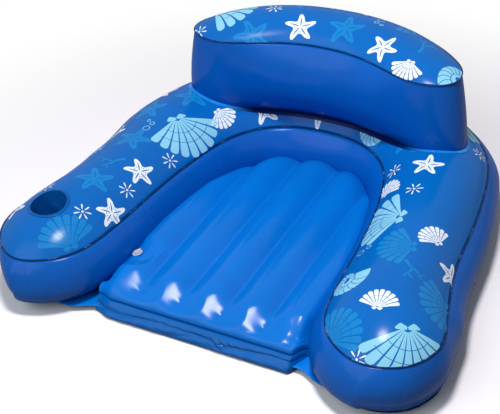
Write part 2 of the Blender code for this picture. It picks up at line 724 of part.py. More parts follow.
def main():
    clear_scene()
    chair = new_collection("inflatable_pool_chair")
    guides = new_collection("guides")
    up = Vector((0.0, 0.0, 1.0))

    ring = Outline(LOBE_TIP_SHARE, INNER_SEAM_SHARES, OUTER_SEAM_SHARES, SEAM_HALF_WIDTH, RING_STEPS)
    ring_top = add_crowned_panel(
        "ring_top_panel", ring, UPPER_SEAM_HEIGHT, 1, CROWN_SHARE, RING_BLUE, chair
    )
    ring_wall = add_ring_wall(ring, chair)
    add_crowned_panel(
        "ring_bottom_panel", ring, LOWER_SEAM_HEIGHT, -1, CROWN_SHARE, WALL_BLUE, chair
    )
    ring_tree = skin_tree(ring_top)

    top_outline = Outline(
        BOLSTER_TIP_SHARE, BOLSTER_FRONT_SHARES, BOLSTER_BACK_SHARES, BACKREST_HALF_WIDTH, BOLSTER_STEPS
    )
    base_half_width = BACKREST_HALF_WIDTH + BACKREST_BASE_FLARE
    base_outline = Outline(
        BASE_TIP_SHARE, BASE_FRONT_SHARES, BASE_BACK_SHARES, base_half_width, BOLSTER_STEPS
    )
    add_crowned_panel(
        "backrest_top_panel", top_outline, BACKREST_SEAM_HEIGHT, 1, BACKREST_CROWN_SHARE, RING_BLUE, chair
    )
    back_wall = add_backrest_wall(top_outline, base_outline, ring_tree, chair)

    add_cup_pocket(ring_tree, chair)
    cup_frame = Matrix.Translation(Vector((CUP_X, CUP_Y, UPPER_SEAM_HEIGHT)))
    cut(ring_top, add_drill("cup_drill", CUP_RADIUS + FILM + GAP, RING_WALL_HEIGHT * 2, cup_frame, guides))

    edge = well_edge(ring, SEAT_INSET)
    seat_rows = seat_grid(edge)
    seat_top = add_seat_top(seat_rows, chair)
    add_seat_apron(seat_rows[0], chair)
    add_floor_sheet(well_edge(ring, FLOOR_SHEET_TUCK), chair)
    add_seat_ribs(edge, chair)

    middle = (LOWER_SEAM_HEIGHT + UPPER_SEAM_HEIGHT) / 2
    rear_left = Vector((-SEAM_HALF_WIDTH * 3 / 4, SEAM_HALF_DEPTH * 3 / 4, middle))
    spot, axis = nearest_facet(ring_wall, rear_left)
    frame = valve_frame(skin_tree(ring_wall), spot, axis, up)
    cut(ring_wall, add_valve("ring", frame, chair, guides))

    behind = Vector((-BACKREST_HALF_WIDTH / 3, SEAM_HALF_DEPTH, UPPER_SEAM_HEIGHT + BACKREST_SEAM_RISE / 2))
    spot, axis = nearest_facet(back_wall, behind)
    frame = valve_frame(skin_tree(back_wall), spot, axis, up)
    cut(back_wall, add_valve("backrest", frame, chair, guides))

    seat_tree = skin_tree(seat_top)
    above = Vector((SEAT_VALVE_X, SEAT_VALVE_Y, UPPER_SEAM_HEIGHT))
    spot = seat_tree.ray_cast(above, -up)[0]
    frame = valve_frame(seat_tree, spot, up, Vector((0.0, 1.0, 0.0)))
    cut(seat_top, add_valve("seat", frame, chair, guides))

    bpy.context.view_layer.update()


main()
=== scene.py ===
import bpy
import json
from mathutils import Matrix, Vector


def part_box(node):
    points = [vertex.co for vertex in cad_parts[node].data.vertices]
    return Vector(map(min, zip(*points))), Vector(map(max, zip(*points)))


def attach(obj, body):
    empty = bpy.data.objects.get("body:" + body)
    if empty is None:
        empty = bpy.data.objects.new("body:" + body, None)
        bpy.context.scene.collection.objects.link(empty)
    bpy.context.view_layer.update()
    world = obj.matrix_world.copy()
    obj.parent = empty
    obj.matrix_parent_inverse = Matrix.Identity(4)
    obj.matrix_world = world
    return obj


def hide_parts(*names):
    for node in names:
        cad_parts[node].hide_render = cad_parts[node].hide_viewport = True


bl_info = {
    "name": "Inflatable pool chair",
    "version": (1, 0, 0),
    "blender": (4, 5, 0),
    "location": "View3D > Sidebar > Pool chair",
    "description": "Dresses the packed pool chair with smooth vinyl panels, its print, seams and studio light",
    "category": "Object",
}

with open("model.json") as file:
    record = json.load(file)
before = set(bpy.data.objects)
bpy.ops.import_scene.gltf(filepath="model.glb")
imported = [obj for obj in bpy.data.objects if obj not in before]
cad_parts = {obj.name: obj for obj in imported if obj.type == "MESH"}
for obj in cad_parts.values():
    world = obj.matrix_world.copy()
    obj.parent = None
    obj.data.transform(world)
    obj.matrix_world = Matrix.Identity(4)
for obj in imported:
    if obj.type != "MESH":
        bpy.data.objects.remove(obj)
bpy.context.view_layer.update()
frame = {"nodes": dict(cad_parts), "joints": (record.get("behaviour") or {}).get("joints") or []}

import json
import math
import random

import bmesh
import bpy
import numpy as np
from bpy.props import FloatProperty, FloatVectorProperty, IntProperty, PointerProperty
from mathutils import Matrix, Vector, noise
from mathutils.bvhtree import BVHTree

BODY = "chair"
FILM = 0.0004
SHEET_FILM = 0.0008
WELD = 0.0009
TURN = 2.0 * math.pi
DOWN = Vector((0.0, 0.0, -1.0))

# Seam outlines
SEAM_HALF_WIDTH = 0.459
SEAM_HALF_DEPTH = 0.418
LOWER_SEAM = 0.015
UPPER_SEAM = 0.117
OUTER_BULGE = 0.030
LOBE_BULGE = 0.016
INNER_BULGE = 0.031
BACKREST_HALF_WIDTH = 0.291
BACKREST_BASE_HALF_WIDTH = 0.309
BACKREST_SEAM = 0.317
BACKREST_FRONT_BULGE = 0.043
BACKREST_REAR_BULGE = 0.022
BACKREST_END_BULGE = 0.003
BACKREST_BULGE_SPAN = 0.154
BACKREST_CROWN = 0.74
BACKREST_MIDDLE = 0.02
RING_TIP = (0.778, -1.0)
RING_INNER = (
    (0.671, -0.967), (0.588, -0.890), (0.532, -0.761), (0.505, -0.543), (0.490, -0.340),
    (0.471, -0.136), (0.440, 0.055), (0.383, 0.270), (0.279, 0.421), (0.144, 0.498), (0.0, 0.517),
)
RING_OUTER = (
    (0.885, -0.969), (0.961, -0.890), (1.0, -0.734), (0.965, -0.526), (0.917, -0.316),
    (0.893, -0.089), (0.869, 0.139), (0.814, 0.416), (0.694, 0.694), (0.425, 0.934), (0.0, 1.0),
)
BOLSTER_TIP = (1.0, 0.486)
BOLSTER_FRONT = (
    (0.955, 0.421), (0.842, 0.383), (0.687, 0.383), (0.481, 0.438), (0.241, 0.500), (0.0, 0.519),
)
BOLSTER_BACK = (
    (0.972, 0.572), (0.868, 0.660), (0.698, 0.750), (0.487, 0.821), (0.243, 0.865), (0.0, 0.878),
)
BASE_TIP = (1.0, 0.493)
BASE_FRONT = (
    (0.958, 0.421), (0.841, 0.373), (0.686, 0.383), (0.479, 0.467), (0.243, 0.541), (0.0, 0.562),
)
BASE_BACK = (
    (0.973, 0.583), (0.873, 0.676), (0.703, 0.770), (0.489, 0.843), (0.245, 0.885), (0.0, 0.898),
)

# How the ring rests: the lobes are drawn in and the left rear shoulder is fuller
LEFT_DRAWN = 0.016
LEFT_DRAWN_BELOW = 0.024
RIGHT_DRAWN = 0.010
SHOULDER_OUT = 0.012
SHOULDER_UP = 0.009

# Seat pad
CHANNEL_PITCH = 0.087
CHANNELS = 5
SEAT_HALF_WIDTH = CHANNEL_PITCH * CHANNELS / 2
SEAT_FRONT = 0.375
SEAT_REAR_CORNER = 0.090
SEAT_INSET = 0.008
SEAT_LIP_HEIGHT = 0.0149
SEAT_FRONT_EDGE = -0.366
SEAT_FRONT_RISE = 0.016
SEAT_FRONT_ROLL = 0.087
SEAT_SIDE_ROLL = 0.036
SEAT_REAR_ROLL = 0.060
FLOOR_SHEET_HEIGHT = 0.0139
APRON_FOOT = 0.0025

# Dips at the front ends of the seat's grooves, in channels from the middle
DIP_PLACES = (-1.5, -0.5, 0.5, 1.5, 2.25)
DIP_SHIFT = 0.004
DIP_SETBACK = 0.029
DIP_RADIUS = 0.050
DIP_DEPTH = 0.0140

# Bed of a valve: the hole for its stem, its flange, the part on the CAD film and the fade round it
VALVE_MOUTH = 0.0072
VALVE_FLANGE = 0.014
VALVE_BED = 0.022
VALVE_FADE = 0.034
VALVE_REACH = 0.03
VALVE_DEPTH = 0.02

# Cup pocket
CUP_PLACE = (-0.352, -0.298)
CUP_RADIUS = 0.036
CUP_BASE_RADIUS = 0.035
CUP_DEPTH = 0.098
CUP_CORNER = 0.010
CUP_GAP = 0.0006
CUP_WALL_SHARE = 0.72
CUP_CORNER_SHARE = 0.4

# The photograph's camera
CAMERA_PLACE = (0.988, -1.930, 1.614)
CAMERA_RIGHT = (0.8897, 0.4546, -0.0430)
CAMERA_UP = (-0.2336, 0.5340, 0.8126)
CAMERA_FOCAL = 1315.0
FRAME_WIDTH = 500.0
SENSOR = 36.0


# --- Settings -------------------------------------------------------------------------------

class PoolChairShape(bpy.types.PropertyGroup):
    crown: FloatProperty(
        name="Panel crown", description="How flat the crowned panels are near their seams",
        default=0.0725, min=0.03, max=0.2, subtype="DISTANCE", unit="LENGTH")
    seat_rise: FloatProperty(
        name="Seat rise", description="Height of the seat channels above the floor sheet",
        default=0.058, min=0.02, max=0.07, subtype="DISTANCE", unit="LENGTH")
    groove: FloatProperty(
        name="Groove depth", description="Depth of the grooves as a share of the seat rise",
        default=0.34, min=0.0, max=0.7, subtype="FACTOR")


class PoolChairColours(bpy.types.PropertyGroup):
    ring: FloatVectorProperty(
        name="Printed vinyl", description="Ground colour of the printed top panels",
        default=(0.001, 0.132, 0.480), min=0.0, max=1.0, subtype="COLOR")
    wall: FloatVectorProperty(
        name="Wall vinyl", description="Colour of the side walls",
        default=(0.001, 0.106, 0.470), min=0.0, max=1.0, subtype="COLOR")
    seat: FloatVectorProperty(
        name="Seat vinyl", description="Colour of the seat pad",
        default=(0.001, 0.170, 0.620), min=0.0, max=1.0, subtype="COLOR")
    pocket: FloatVectorProperty(
        name="Pocket vinyl", description="Colour of the cup pocket",
        default=(0.002, 0.110, 0.420), min=0.0, max=1.0, subtype="COLOR")
    white_ink: FloatVectorProperty(
        name="White ink", description="Lightest ink of the print",
        default=(0.780, 0.880, 0.950), min=0.0, max=1.0, subtype="COLOR")
    pale_ink: FloatVectorProperty(
        name="Pale ink", description="Pale cyan ink of the print",
        default=(0.250, 0.620, 0.800), min=0.0, max=1.0, subtype="COLOR")
    tonal_ink: FloatVectorProperty(
        name="Tonal ink", description="Mid blue ink of the print",
        default=(0.006, 0.220, 0.560), min=0.0, max=1.0, subtype="COLOR")


class PoolChairPrint(bpy.types.PropertyGroup):
    scale: FloatProperty(
        name="Motif scale", description="Size of the printed motifs",
        default=1.0, min=0.3, max=2.0, subtype="FACTOR")
    seed: IntProperty(
        name="Layout", description="Which of the layouts of the print is used", default=7, min=0)


class PoolChairLight(bpy.types.PropertyGroup):
    key: FloatProperty(
        name="Key light", description="Power of the lamp above the seat",
        default=43.0, min=0.0, subtype="POWER", unit="POWER")
    fill: FloatProperty(
        name="Fill light", description="Power of the wide lamp at the front left",
        default=96.0, min=0.0, subtype="POWER", unit="POWER")
    sky: FloatProperty(
        name="Sky", description="Strength of the even light from all round", default=0.22, min=0.0, max=2.0,
        subtype="FACTOR")


SETTINGS = (
    ("pool_chair_shape", PoolChairShape),
    ("pool_chair_colours", PoolChairColours),
    ("pool_chair_print", PoolChairPrint),
    ("pool_chair_light", PoolChairLight),
)


# --- Curves and heights ---------------------------------------------------------------------

def smoothstep(share):
    clipped = np.clip(share, 0.0, 1.0)
    return clipped * clipped * (3.0 - 2.0 * clipped)


def bowed(down, peak, power):
    """How far a blown-up wall stands out between its two seams; it is fullest at the peak."""
    reach = np.where(down < peak, 1.0 - down / peak, (down - peak) / (1.0 - peak))
    return np.maximum(0.0, 1.0 - reach ** 2) ** power


def settled(spots):
    """The ring as it rests: the lobes are drawn in below and the left rear shoulder is fuller."""
    x, y = spots[:, 0], spots[:, 1]
    low = np.clip((UPPER_SEAM - spots[:, 2]) / (UPPER_SEAM - LOWER_SEAM), 0.0, 1.0)
    left = smoothstep((-0.33 - x) / 0.12) * smoothstep((-0.04 - y) / 0.16) * (LEFT_DRAWN + LEFT_DRAWN_BELOW * low)
    right = smoothstep((x - 0.34) / 0.08) * smoothstep((0.34 - y) / 0.14) * smoothstep((y + 0.34) / 0.10)
    rear = smoothstep((-0.16 - x) / 0.16) * smoothstep((y + 0.02) / 0.14)
    moved = spots.copy()
    moved[:, 0] += left - RIGHT_DRAWN * right - SHOULDER_OUT * rear
    moved[:, 1] += 0.5 * left
    moved[:, 2] += SHOULDER_UP * rear * (1.0 - low)
    return moved


def rolled(distance, radius):
    """Height share of an edge that rolls over from its weld within a radius."""
    share = np.clip(distance / radius, 0.0, 1.0)
    return np.sqrt(np.maximum(0.0, 1.0 - (1.0 - share) ** 2))


def eased(share, amount):
    """Shares that crowd toward both ends."""
    return share + (0.5 - 0.5 * np.cos(np.pi * share) - share) * amount


def squarish(wave, power):
    return np.sign(wave) * np.abs(wave) ** power


def unit(turn):
    """Plan points on the unit circle."""
    return np.column_stack([np.cos(turn), np.sin(turn)])


class Outline:
    """A smooth closed plan outline with two tips, whose two long sides face each other."""

    def __init__(self, tip, near, far, half_width):
        scale = np.array([half_width, SEAM_HALF_DEPTH])
        near, far = (np.array((tip, *side)) * scale for side in (near, far))
        mirror = np.array([-1.0, 1.0])
        far_line = np.concatenate([far * mirror, far[-2::-1]])
        near_line = np.concatenate([near * mirror, near[-2::-1]])
        self.points = np.concatenate([far_line, near_line[-2:0:-1]])
        self.count = len(self.points)
        self.turn = len(far_line) - 1
        ones = np.eye(self.count)
        system = 4.0 * ones + np.roll(ones, 1, 0) + np.roll(ones, -1, 0)
        bends = np.roll(self.points, 1, 0) - 2.0 * self.points + np.roll(self.points, -1, 0)
        self.bends = np.linalg.solve(system, 6.0 * bends)

    def at(self, place):
        """Plan points at places counted in outline points."""
        place = np.asarray(place, float)
        whole = np.floor(place)
        start = whole.astype(int) % self.count
        end = (start + 1) % self.count
        b = (place - whole)[..., None]
        a = 1.0 - b
        line = a * self.points[start] + b * self.points[end]
        return line + ((a ** 3 - a) * self.bends[start] + (b ** 3 - b) * self.bends[end]) / 6.0

    def outward(self, place):
        """Outward plan normals at places counted in outline points."""
        step = 0.01
        along = self.at(np.asarray(place) + step) - self.at(np.asarray(place) - step)
        normal = np.stack([-along[..., 1], along[..., 0]], -1)
        return normal / np.linalg.norm(normal, axis=-1, keepdims=True)

    def offset(self, place, distance):
        return self.at(place) + self.outward(place) * np.asarray(distance)[..., None]

    def across(self, share_along, share_across):
        """Plan points of the ribs that join the two sides: 0 is the near side, 1 the far side."""
        far = self.at(share_along * self.turn)
        near = self.at(self.count - share_along * self.turn)
        share = np.asarray(share_across)[..., None]
        return near + (far - near) * share

    def length_to(self, place):
        """Arc length from the first outline point to each place."""
        fine = np.linspace(0.0, self.count, self.count * 64 + 1)
        steps = np.linalg.norm(np.diff(self.at(fine), axis=0), axis=1)
        return np.interp(place, fine, np.concatenate([[0.0], np.cumsum(steps)]))


RING = Outline(RING_TIP, RING_INNER, RING_OUTER, SEAM_HALF_WIDTH)
BOLSTER = Outline(BOLSTER_TIP, BOLSTER_FRONT, BOLSTER_BACK, BACKREST_HALF_WIDTH)
BOLSTER_BASE = Outline(BASE_TIP, BASE_FRONT, BASE_BACK, BACKREST_BASE_HALF_WIDTH)


# --- Meshes ---------------------------------------------------------------------------------

def opened(mesh):
    builder = bmesh.new()
    builder.from_mesh(mesh)
    return builder


def written(builder, mesh):
    """Writes a builder into a mesh and closes it."""
    builder.to_mesh(mesh)
    builder.free()
    return mesh


def new_grid(columns, rows):
    """A flat grid, with each corner's shares of its width and height."""
    builder = bmesh.new()
    bmesh.ops.create_grid(builder, x_segments=columns, y_segments=rows, size=0.5)
    builder.verts.index_update()
    return builder, np.array([(v.co.x + 0.5, v.co.y + 0.5) for v in builder.verts])


def grid_mesh(name, columns, rows, place):
    """A grid whose corners in shares of its width and height go where place() puts them."""
    builder, shares = new_grid(columns, rows)
    layer = builder.loops.layers.uv.new("UVMap")
    spots, flat = place(shares[:, 0], shares[:, 1])
    for vert, spot in zip(builder.verts, spots):
        vert.co = spot
    for face in builder.faces:
        for loop in face.loops:
            loop[layer].uv = flat[loop.vert.index]
    bmesh.ops.remove_doubles(builder, verts=builder.verts, dist=0.00002)
    return written(builder, bpy.data.meshes.new(name))


def facing(mesh, inside=None):
    """Turns a shell's faces outward: away from a point inside it, or up."""
    builder = opened(mesh)
    bmesh.ops.recalc_face_normals(builder, faces=builder.faces)
    flux = 0.0
    for face in builder.faces:
        away = face.calc_center_median() - Vector(inside) if inside else -DOWN
        flux += face.calc_area() * face.normal.dot(away)
    if flux < 0.0:
        bmesh.ops.reverse_faces(builder, faces=builder.faces)
    return written(builder, mesh)


def linked(name, data):
    """A new object in the scene."""
    thing = bpy.data.objects.new(name, data)
    bpy.context.scene.collection.objects.link(thing)
    return thing


def add_piece(mesh, nodes, material, thickness=0.0):
    """A finished piece that rides with the chair and stands for its CAD nodes."""
    mesh.shade_smooth()
    mesh.materials.append(material)
    piece = linked(mesh.name, mesh)
    if thickness:
        wall = piece.modifiers.new("film", "SOLIDIFY")
        wall.thickness = thickness
        wall.offset = -1.0
    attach(piece, BODY)
    if nodes:
        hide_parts(*nodes)


def coordinates(mesh):
    spots = np.empty(len(mesh.vertices) * 3)
    mesh.vertices.foreach_get("co", spots)
    return spots.reshape(-1, 3)


def set_coordinates(mesh, spots):
    mesh.vertices.foreach_set("co", np.ascontiguousarray(spots, float).ravel())
    mesh.update()


def triangles(mesh):
    """The mesh's triangles, as rows of three corners."""
    mesh.calc_loop_triangles()
    corners = np.empty(len(mesh.loop_triangles) * 3, int)
    mesh.loop_triangles.foreach_get("vertices", corners)
    return corners.reshape(-1, 3)


def border_mask(mesh):
    """True at each vertex on the mesh's open border."""
    uses = {}
    for face in mesh.polygons:
        for key in face.edge_keys:
            uses[key] = uses.get(key, 0) + 1
    mask = np.zeros(len(mesh.vertices), bool)
    for key, count in uses.items():
        if count == 1:
            mask[list(key)] = True
    return mask


SOLVER_STEPS = 1500


def blown_height(mesh, push, slack):
    """Height of a film held at its border and blown up: the membrane equation on the flat mesh."""
    corners = triangles(mesh)
    plan = coordinates(mesh)[:, :2]
    count = len(plan)
    starts, ends, weights = [], [], []
    areas = np.zeros(count)
    for turn in range(3):
        a, b, c = (corners[:, (turn + k) % 3] for k in range(3))
        u, v = plan[a] - plan[c], plan[b] - plan[c]
        twice = np.abs(u[:, 0] * v[:, 1] - u[:, 1] * v[:, 0]) + 1e-14
        weight = 0.5 * (u * v).sum(1) / twice
        starts += [a, b]
        ends += [b, a]
        weights += [weight, weight]
        areas += np.bincount(a, twice / 6.0, count)
    starts, ends, weights = (np.concatenate(part) for part in (starts, ends, weights))
    diagonal = np.bincount(starts, weights, count)
    free = ~border_mask(mesh)

    def stiffness(x):
        return np.where(free, diagonal * x - np.bincount(starts, weights * x[ends], count), 0.0)

    x = np.zeros(count)
    rest = np.where(free, areas * push(plan), 0.0)
    tuned = rest / np.maximum(diagonal, 1e-9)
    step = tuned.copy()
    power = rest @ tuned
    for _ in range(SOLVER_STEPS):
        pulled = stiffness(step)
        stride = power / (step @ pulled)
        x += stride * step
        rest -= stride * pulled
        tuned = rest / np.maximum(diagonal, 1e-9)
        following = rest @ tuned
        if following < 1e-18 * count:
            break
        step = tuned + step * (following / power)
        power = following
    return np.sqrt(slack ** 2 + 2.0 * np.maximum(x, 0.0)) - slack


def crowned_mesh(name, outline, columns, rows, push, slack, level):
    """A panel between the two sides of an outline, blown up from its flat plan; level() sets its height."""
    def flat(along, across):
        spread = eased(across, 0.6)
        plan = outline.across(along, spread)
        return np.column_stack([plan, np.zeros(len(plan))]), np.column_stack([along, spread])

    mesh = grid_mesh(name, columns, rows, flat)
    spots = coordinates(mesh)
    spots[:, 2] = level(blown_height(mesh, push, slack))
    set_coordinates(mesh, settled(spots) if outline is RING else spots)
    return facing(mesh)


def skin_tree(mesh):
    return BVHTree.FromPolygons(coordinates(mesh).tolist(), triangles(mesh).tolist())


def dropped(tree, x, y):
    """Where a plumb line meets a skin, and the skin's normal there."""
    return tree.ray_cast(Vector((x, y, 1.0)), DOWN)[:2]


def lay_on(tree, plan, rise):
    """Plan points dropped on a skin; rise is the gap measured square to the skin."""
    spots = []
    for x, y in plan:
        spot, normal = dropped(tree, x, y)
        if spot is None:
            spot, normal = tree.find_nearest(Vector((x, y, UPPER_SEAM)))[:2]
        spots.append((x, y, spot.z + rise / max(0.3, abs(normal.z))))
    return np.array(spots)


def bed_valve(mesh, valve, film):
    """Lays a skin on its CAD film round a valve, so flange and plug rest on it, and opens it for the stem."""
    slide = next(joint for joint in frame["joints"] if joint["name"] == valve + "_slide")
    axis = np.array(slide["axis"]) / np.linalg.norm(slide["axis"])
    centre = np.mean(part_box(valve + "_flange"), axis=0)
    tree = skin_tree(frame["nodes"][film].data.copy())
    spots = coordinates(mesh)
    along = (spots - centre) @ axis
    away = np.linalg.norm(spots - centre - along[:, None] * axis, axis=1)
    near = np.flatnonzero((away < VALVE_BED + VALVE_FADE) & (np.abs(along) < VALVE_REACH))
    level = np.full(len(near), np.nan)
    for row, index in enumerate(near):
        hit = tree.ray_cast(Vector(spots[index] + axis * VALVE_REACH), Vector(-axis), 2.0 * VALVE_REACH)[0]
        if hit is not None and abs((np.array(hit) - centre) @ axis) < VALVE_DEPTH:
            level[row] = (np.array(hit) - centre) @ axis
    level[np.isnan(level)] = np.nanmedian(level[away[near] < VALVE_FLANGE])
    share = 1.0 - smoothstep((away[near] - VALVE_BED) / VALVE_FADE)
    spots[near] += axis * ((level - along[near]) * share)[:, None]
    set_coordinates(mesh, spots)

    builder = opened(mesh)
    middle, outward = Vector(centre), Vector(axis)

    def spoke(spot):
        arm = spot - middle
        return arm - outward * arm.dot(outward)

    def at_valve(spot, radius):
        return abs((spot - middle).dot(outward)) < VALVE_DEPTH and spoke(spot).length < radius

    inside = [f for f in builder.faces if at_valve(f.calc_center_median(), VALVE_MOUTH)]
    bmesh.ops.delete(builder, geom=inside, context="FACES")
    for vert in builder.verts:
        if vert.is_boundary and at_valve(vert.co, 2.2 * VALVE_MOUTH):
            arm = spoke(vert.co)
            vert.co += arm.normalized() * (VALVE_MOUTH - arm.length)
    written(builder, mesh)


def strip_mesh(name, outline, columns, inner, outer, height):
    """A flat welded strip round an outline, with rounded edges; its height is a number or height(plan)."""
    def place(along, around):
        u = along * outline.count
        reach = (inner + outer) / 2 + (outer - inner) / 2 * squarish(np.cos(TURN * around), 0.6)
        plan = outline.offset(u, reach)
        level = height(plan) if callable(height) else height
        spots = np.column_stack([plan, level + WELD / 2 * squarish(np.sin(TURN * around), 0.6)])
        return spots, np.column_stack([outline.length_to(u), (reach - inner) / (outer - inner)])

    return grid_mesh(name, columns, 10, place)


# --- Materials ------------------------------------------------------------------------------

class Wires:
    """Short calls for adding and joining nodes of one tree."""

    def __init__(self, tree):
        self.tree = tree

    def node(self, kind, values=None, **options):
        node = self.tree.nodes.new(kind)
        for key, value in options.items():
            setattr(node, key, value)
        for key, value in (values or {}).items():
            self.put(value, node.inputs[key])
        return node

    def put(self, value, socket):
        if isinstance(value, bpy.types.NodeSocket):
            self.tree.links.new(value, socket)
        else:
            socket.default_value = value

    def maths(self, operation, a, b=0.0, clamp=False):
        return self.node("ShaderNodeMath", {0: a, 1: b}, operation=operation, use_clamp=clamp).outputs[0]

    def plus(self, a, b):
        return self.maths("ADD", a, b)

    def times(self, a, b):
        return self.maths("MULTIPLY", a, b)

    def ramp(self, value, low, high, start=0.0, end=1.0):
        node = self.node("ShaderNodeMapRange", {"Value": value}, interpolation_type="SMOOTHSTEP")
        for key, amount in (("From Min", low), ("From Max", high), ("To Min", start), ("To Max", end)):
            node.inputs[key].default_value = amount
        return node.outputs["Result"]

    def blend(self, share, a, b):
        return self.node("ShaderNodeMix", {0: share, 6: a, 7: b}, data_type="RGBA").outputs[2]

    def mix(self, share, a, b):
        return self.node("ShaderNodeMixShader", {0: share, 1: a, 2: b}).outputs[0]

    def place(self):
        return self.node("ShaderNodeTexCoord").outputs["Object"]

    def flat(self):
        return self.node("ShaderNodeUVMap", uv_map="UVMap").outputs["UV"]

    def parts(self, vector):
        return self.node("ShaderNodeSeparateXYZ", {0: vector}).outputs

    def vector(self, x, y=0.0):
        return self.node("ShaderNodeCombineXYZ", {"X": x, "Y": y}).outputs[0]

    def noise(self, vector, scale, detail=2.0, roughness=0.5):
        values = {"Vector": vector, "Scale": scale, "Detail": detail, "Roughness": roughness}
        return self.node("ShaderNodeTexNoise", values).outputs["Fac"]


def new_group(name, inputs):
    """A node group that puts out colour, roughness and height, as its wires, inputs and outputs."""
    group = bpy.data.node_groups.new(name, "ShaderNodeTree")
    for title, kind, value in inputs:
        group.interface.new_socket(title, in_out="INPUT", socket_type=kind).default_value = value
    for title, kind in (("Colour", "NodeSocketColor"), ("Roughness", "NodeSocketFloat"), ("Height", "NodeSocketFloat")):
        group.interface.new_socket(title, in_out="OUTPUT", socket_type=kind)
    w = Wires(group)
    return w, w.node("NodeGroupInput").outputs, w.node("NodeGroupOutput").inputs


def vinyl_group():
    """Soft vinyl: cloudy colour, fine calendered grain and slow waviness of the film."""
    w, given, out = new_group("vinyl_film", (
        ("Colour", "NodeSocketColor", (0.0, 0.1, 0.5, 1.0)), ("Deep colour", "NodeSocketColor", (0.0, 0.05, 0.3, 1.0)),
        ("Grain", "NodeSocketFloat", 1.0), ("Waviness", "NodeSocketFloat", 1.0), ("Gloss", "NodeSocketFloat", 0.25)))
    place = w.place()
    cloud = w.noise(place, 9.0, 4.0, 0.55)
    fine = w.noise(place, 60.0, 3.0, 0.6)
    deep = w.ramp(w.plus(w.times(cloud, 0.75), w.times(fine, 0.25)), 0.38, 0.62)
    w.put(w.blend(w.times(deep, 0.35), given["Colour"], given["Deep colour"]), out["Colour"])
    scuff = w.ramp(w.noise(place, 34.0, 5.0, 0.7), 0.52, 0.75, 0.0, 0.10)
    w.put(w.maths("ADD", given["Gloss"], scuff, clamp=True), out["Roughness"])
    grain = w.times(w.noise(place, 1100.0, 1.0, 0.5), w.times(given["Grain"], 0.10))
    pebble = w.times(w.noise(place, 380.0, 2.0, 0.5), w.times(given["Grain"], 0.28))
    wave = w.times(w.noise(place, 26.0, 2.0, 0.45), given["Waviness"])
    w.put(w.plus(w.plus(grain, pebble), wave), out["Height"])
    return w.tree


def weld_group():
    """Heat-sealed weld: crimps along the strip, and pale painted highlights on the crimp crests."""
    w, given, out = new_group("weld_marks", (
        ("Colour", "NodeSocketColor", (0.0, 0.1, 0.5, 1.0)), ("Speck colour", "NodeSocketColor", (0.5, 0.7, 0.9, 1.0)),
        ("Pitch", "NodeSocketFloat", 0.0035), ("Specks", "NodeSocketFloat", 0.5)))
    parts = w.parts(w.flat())
    phase = w.times(w.maths("DIVIDE", parts["X"], given["Pitch"]), TURN)
    crimp = w.plus(w.times(w.maths("SINE", phase), 0.5), 0.5)
    patch = w.ramp(w.noise(w.vector(w.times(parts["X"], 24.0)), 1.0, 3.0, 0.7), 0.50, 0.66)
    middle = w.ramp(w.maths("ABSOLUTE", w.maths("SUBTRACT", parts["Y"], 0.5)), 0.20, 0.42, 1.0, 0.0)
    # Painted highlight: pale glints painted on the crimp crests along the strip's middle
    painted_glint = w.times(w.times(w.maths("POWER", crimp, 3.0), patch), middle)
    w.put(w.blend(w.times(painted_glint, given["Specks"]), given["Colour"], given["Speck colour"]), out["Colour"])
    w.put(w.plus(0.30, w.times(crimp, 0.12)), out["Roughness"])
    w.put(crimp, out["Height"])
    return w.tree


def new_material(name):
    material = bpy.data.materials.new(name)
    material.use_nodes = True
    return material, Wires(material.node_tree)


def finish_shader(w, colour, roughness, height, distance, coat, specular):
    shader = w.tree.nodes["Principled BSDF"]
    bump = w.node("ShaderNodeBump", {"Height": height, "Distance": distance, "Strength": 1.0})
    w.put(colour, shader.inputs["Base Color"])
    w.put(roughness, shader.inputs["Roughness"])
    w.put(bump.outputs["Normal"], shader.inputs["Normal"])
    shader.inputs["Coat Weight"].default_value = coat
    shader.inputs["Coat Roughness"].default_value = 0.19
    shader.inputs["Specular IOR Level"].default_value = specular
    return shader


def group_material(name, group, colour, values, marks_and_painted_shade, **finish):
    """A material from a shared group; marks and painted shade may change its colour and height."""
    material, w = new_material(name)
    node = w.node("ShaderNodeGroup", {"Colour": (*colour, 1.0), **values}, node_tree=group)
    tone, height = node.outputs["Colour"], node.outputs["Height"]
    if marks_and_painted_shade:
        tone, height = marks_and_painted_shade(w, tone, height)
    finish_shader(w, tone, node.outputs["Roughness"], height, **finish)
    material.diffuse_color = (*colour, 1.0)
    return material


def shaded(colour, share):
    return tuple(min(1.0, c * share) for c in colour)


def vinyl(name, colour, gloss=0.34, waviness=1.0, deep=0.80, coat=0.26, marks_and_painted_shade=None):
    group = bpy.data.node_groups.get("vinyl_film") or vinyl_group()
    values = {"Deep colour": (*shaded(colour, deep), 1.0), "Waviness": waviness, "Gloss": gloss}
    return group_material(name, group, colour, values, marks_and_painted_shade, distance=0.0006, coat=coat, specular=0.0)


# painted_glint and painted_glints give the colour and share of the painted highlights on the weld's crimps
def weld(name, colour, painted_glint=(0.42, 0.66, 0.86), pitch=0.0035, painted_glints=0.8, marks_and_painted_shade=None):
    group = bpy.data.node_groups.get("weld_marks") or weld_group()
    values = {"Speck colour": (*painted_glint, 1.0), "Pitch": pitch, "Specks": painted_glints}
    return group_material(name, group, colour, values, marks_and_painted_shade, distance=0.0002, coat=0.10, specular=0.03)


def pleats(w, tone, height):
    """Short upright pleats below the wall's upper seam."""
    parts = w.parts(w.flat())
    fold = w.ramp(w.noise(w.vector(w.times(parts["X"], 36.0), w.times(parts["Y"], 0.9)), 1.0, 2.0, 0.6), 0.60, 0.72)
    share = w.times(fold, w.ramp(parts["Y"], 0.05, 0.75, 1.0, 0.0))
    return tone, w.maths("SUBTRACT", height, w.times(share, 2.4))


def aside(w):
    """Sideways distance from the bolster's middle."""
    return w.maths("ABSOLUTE", w.plus(w.parts(w.place())["X"], -BACKREST_MIDDLE))


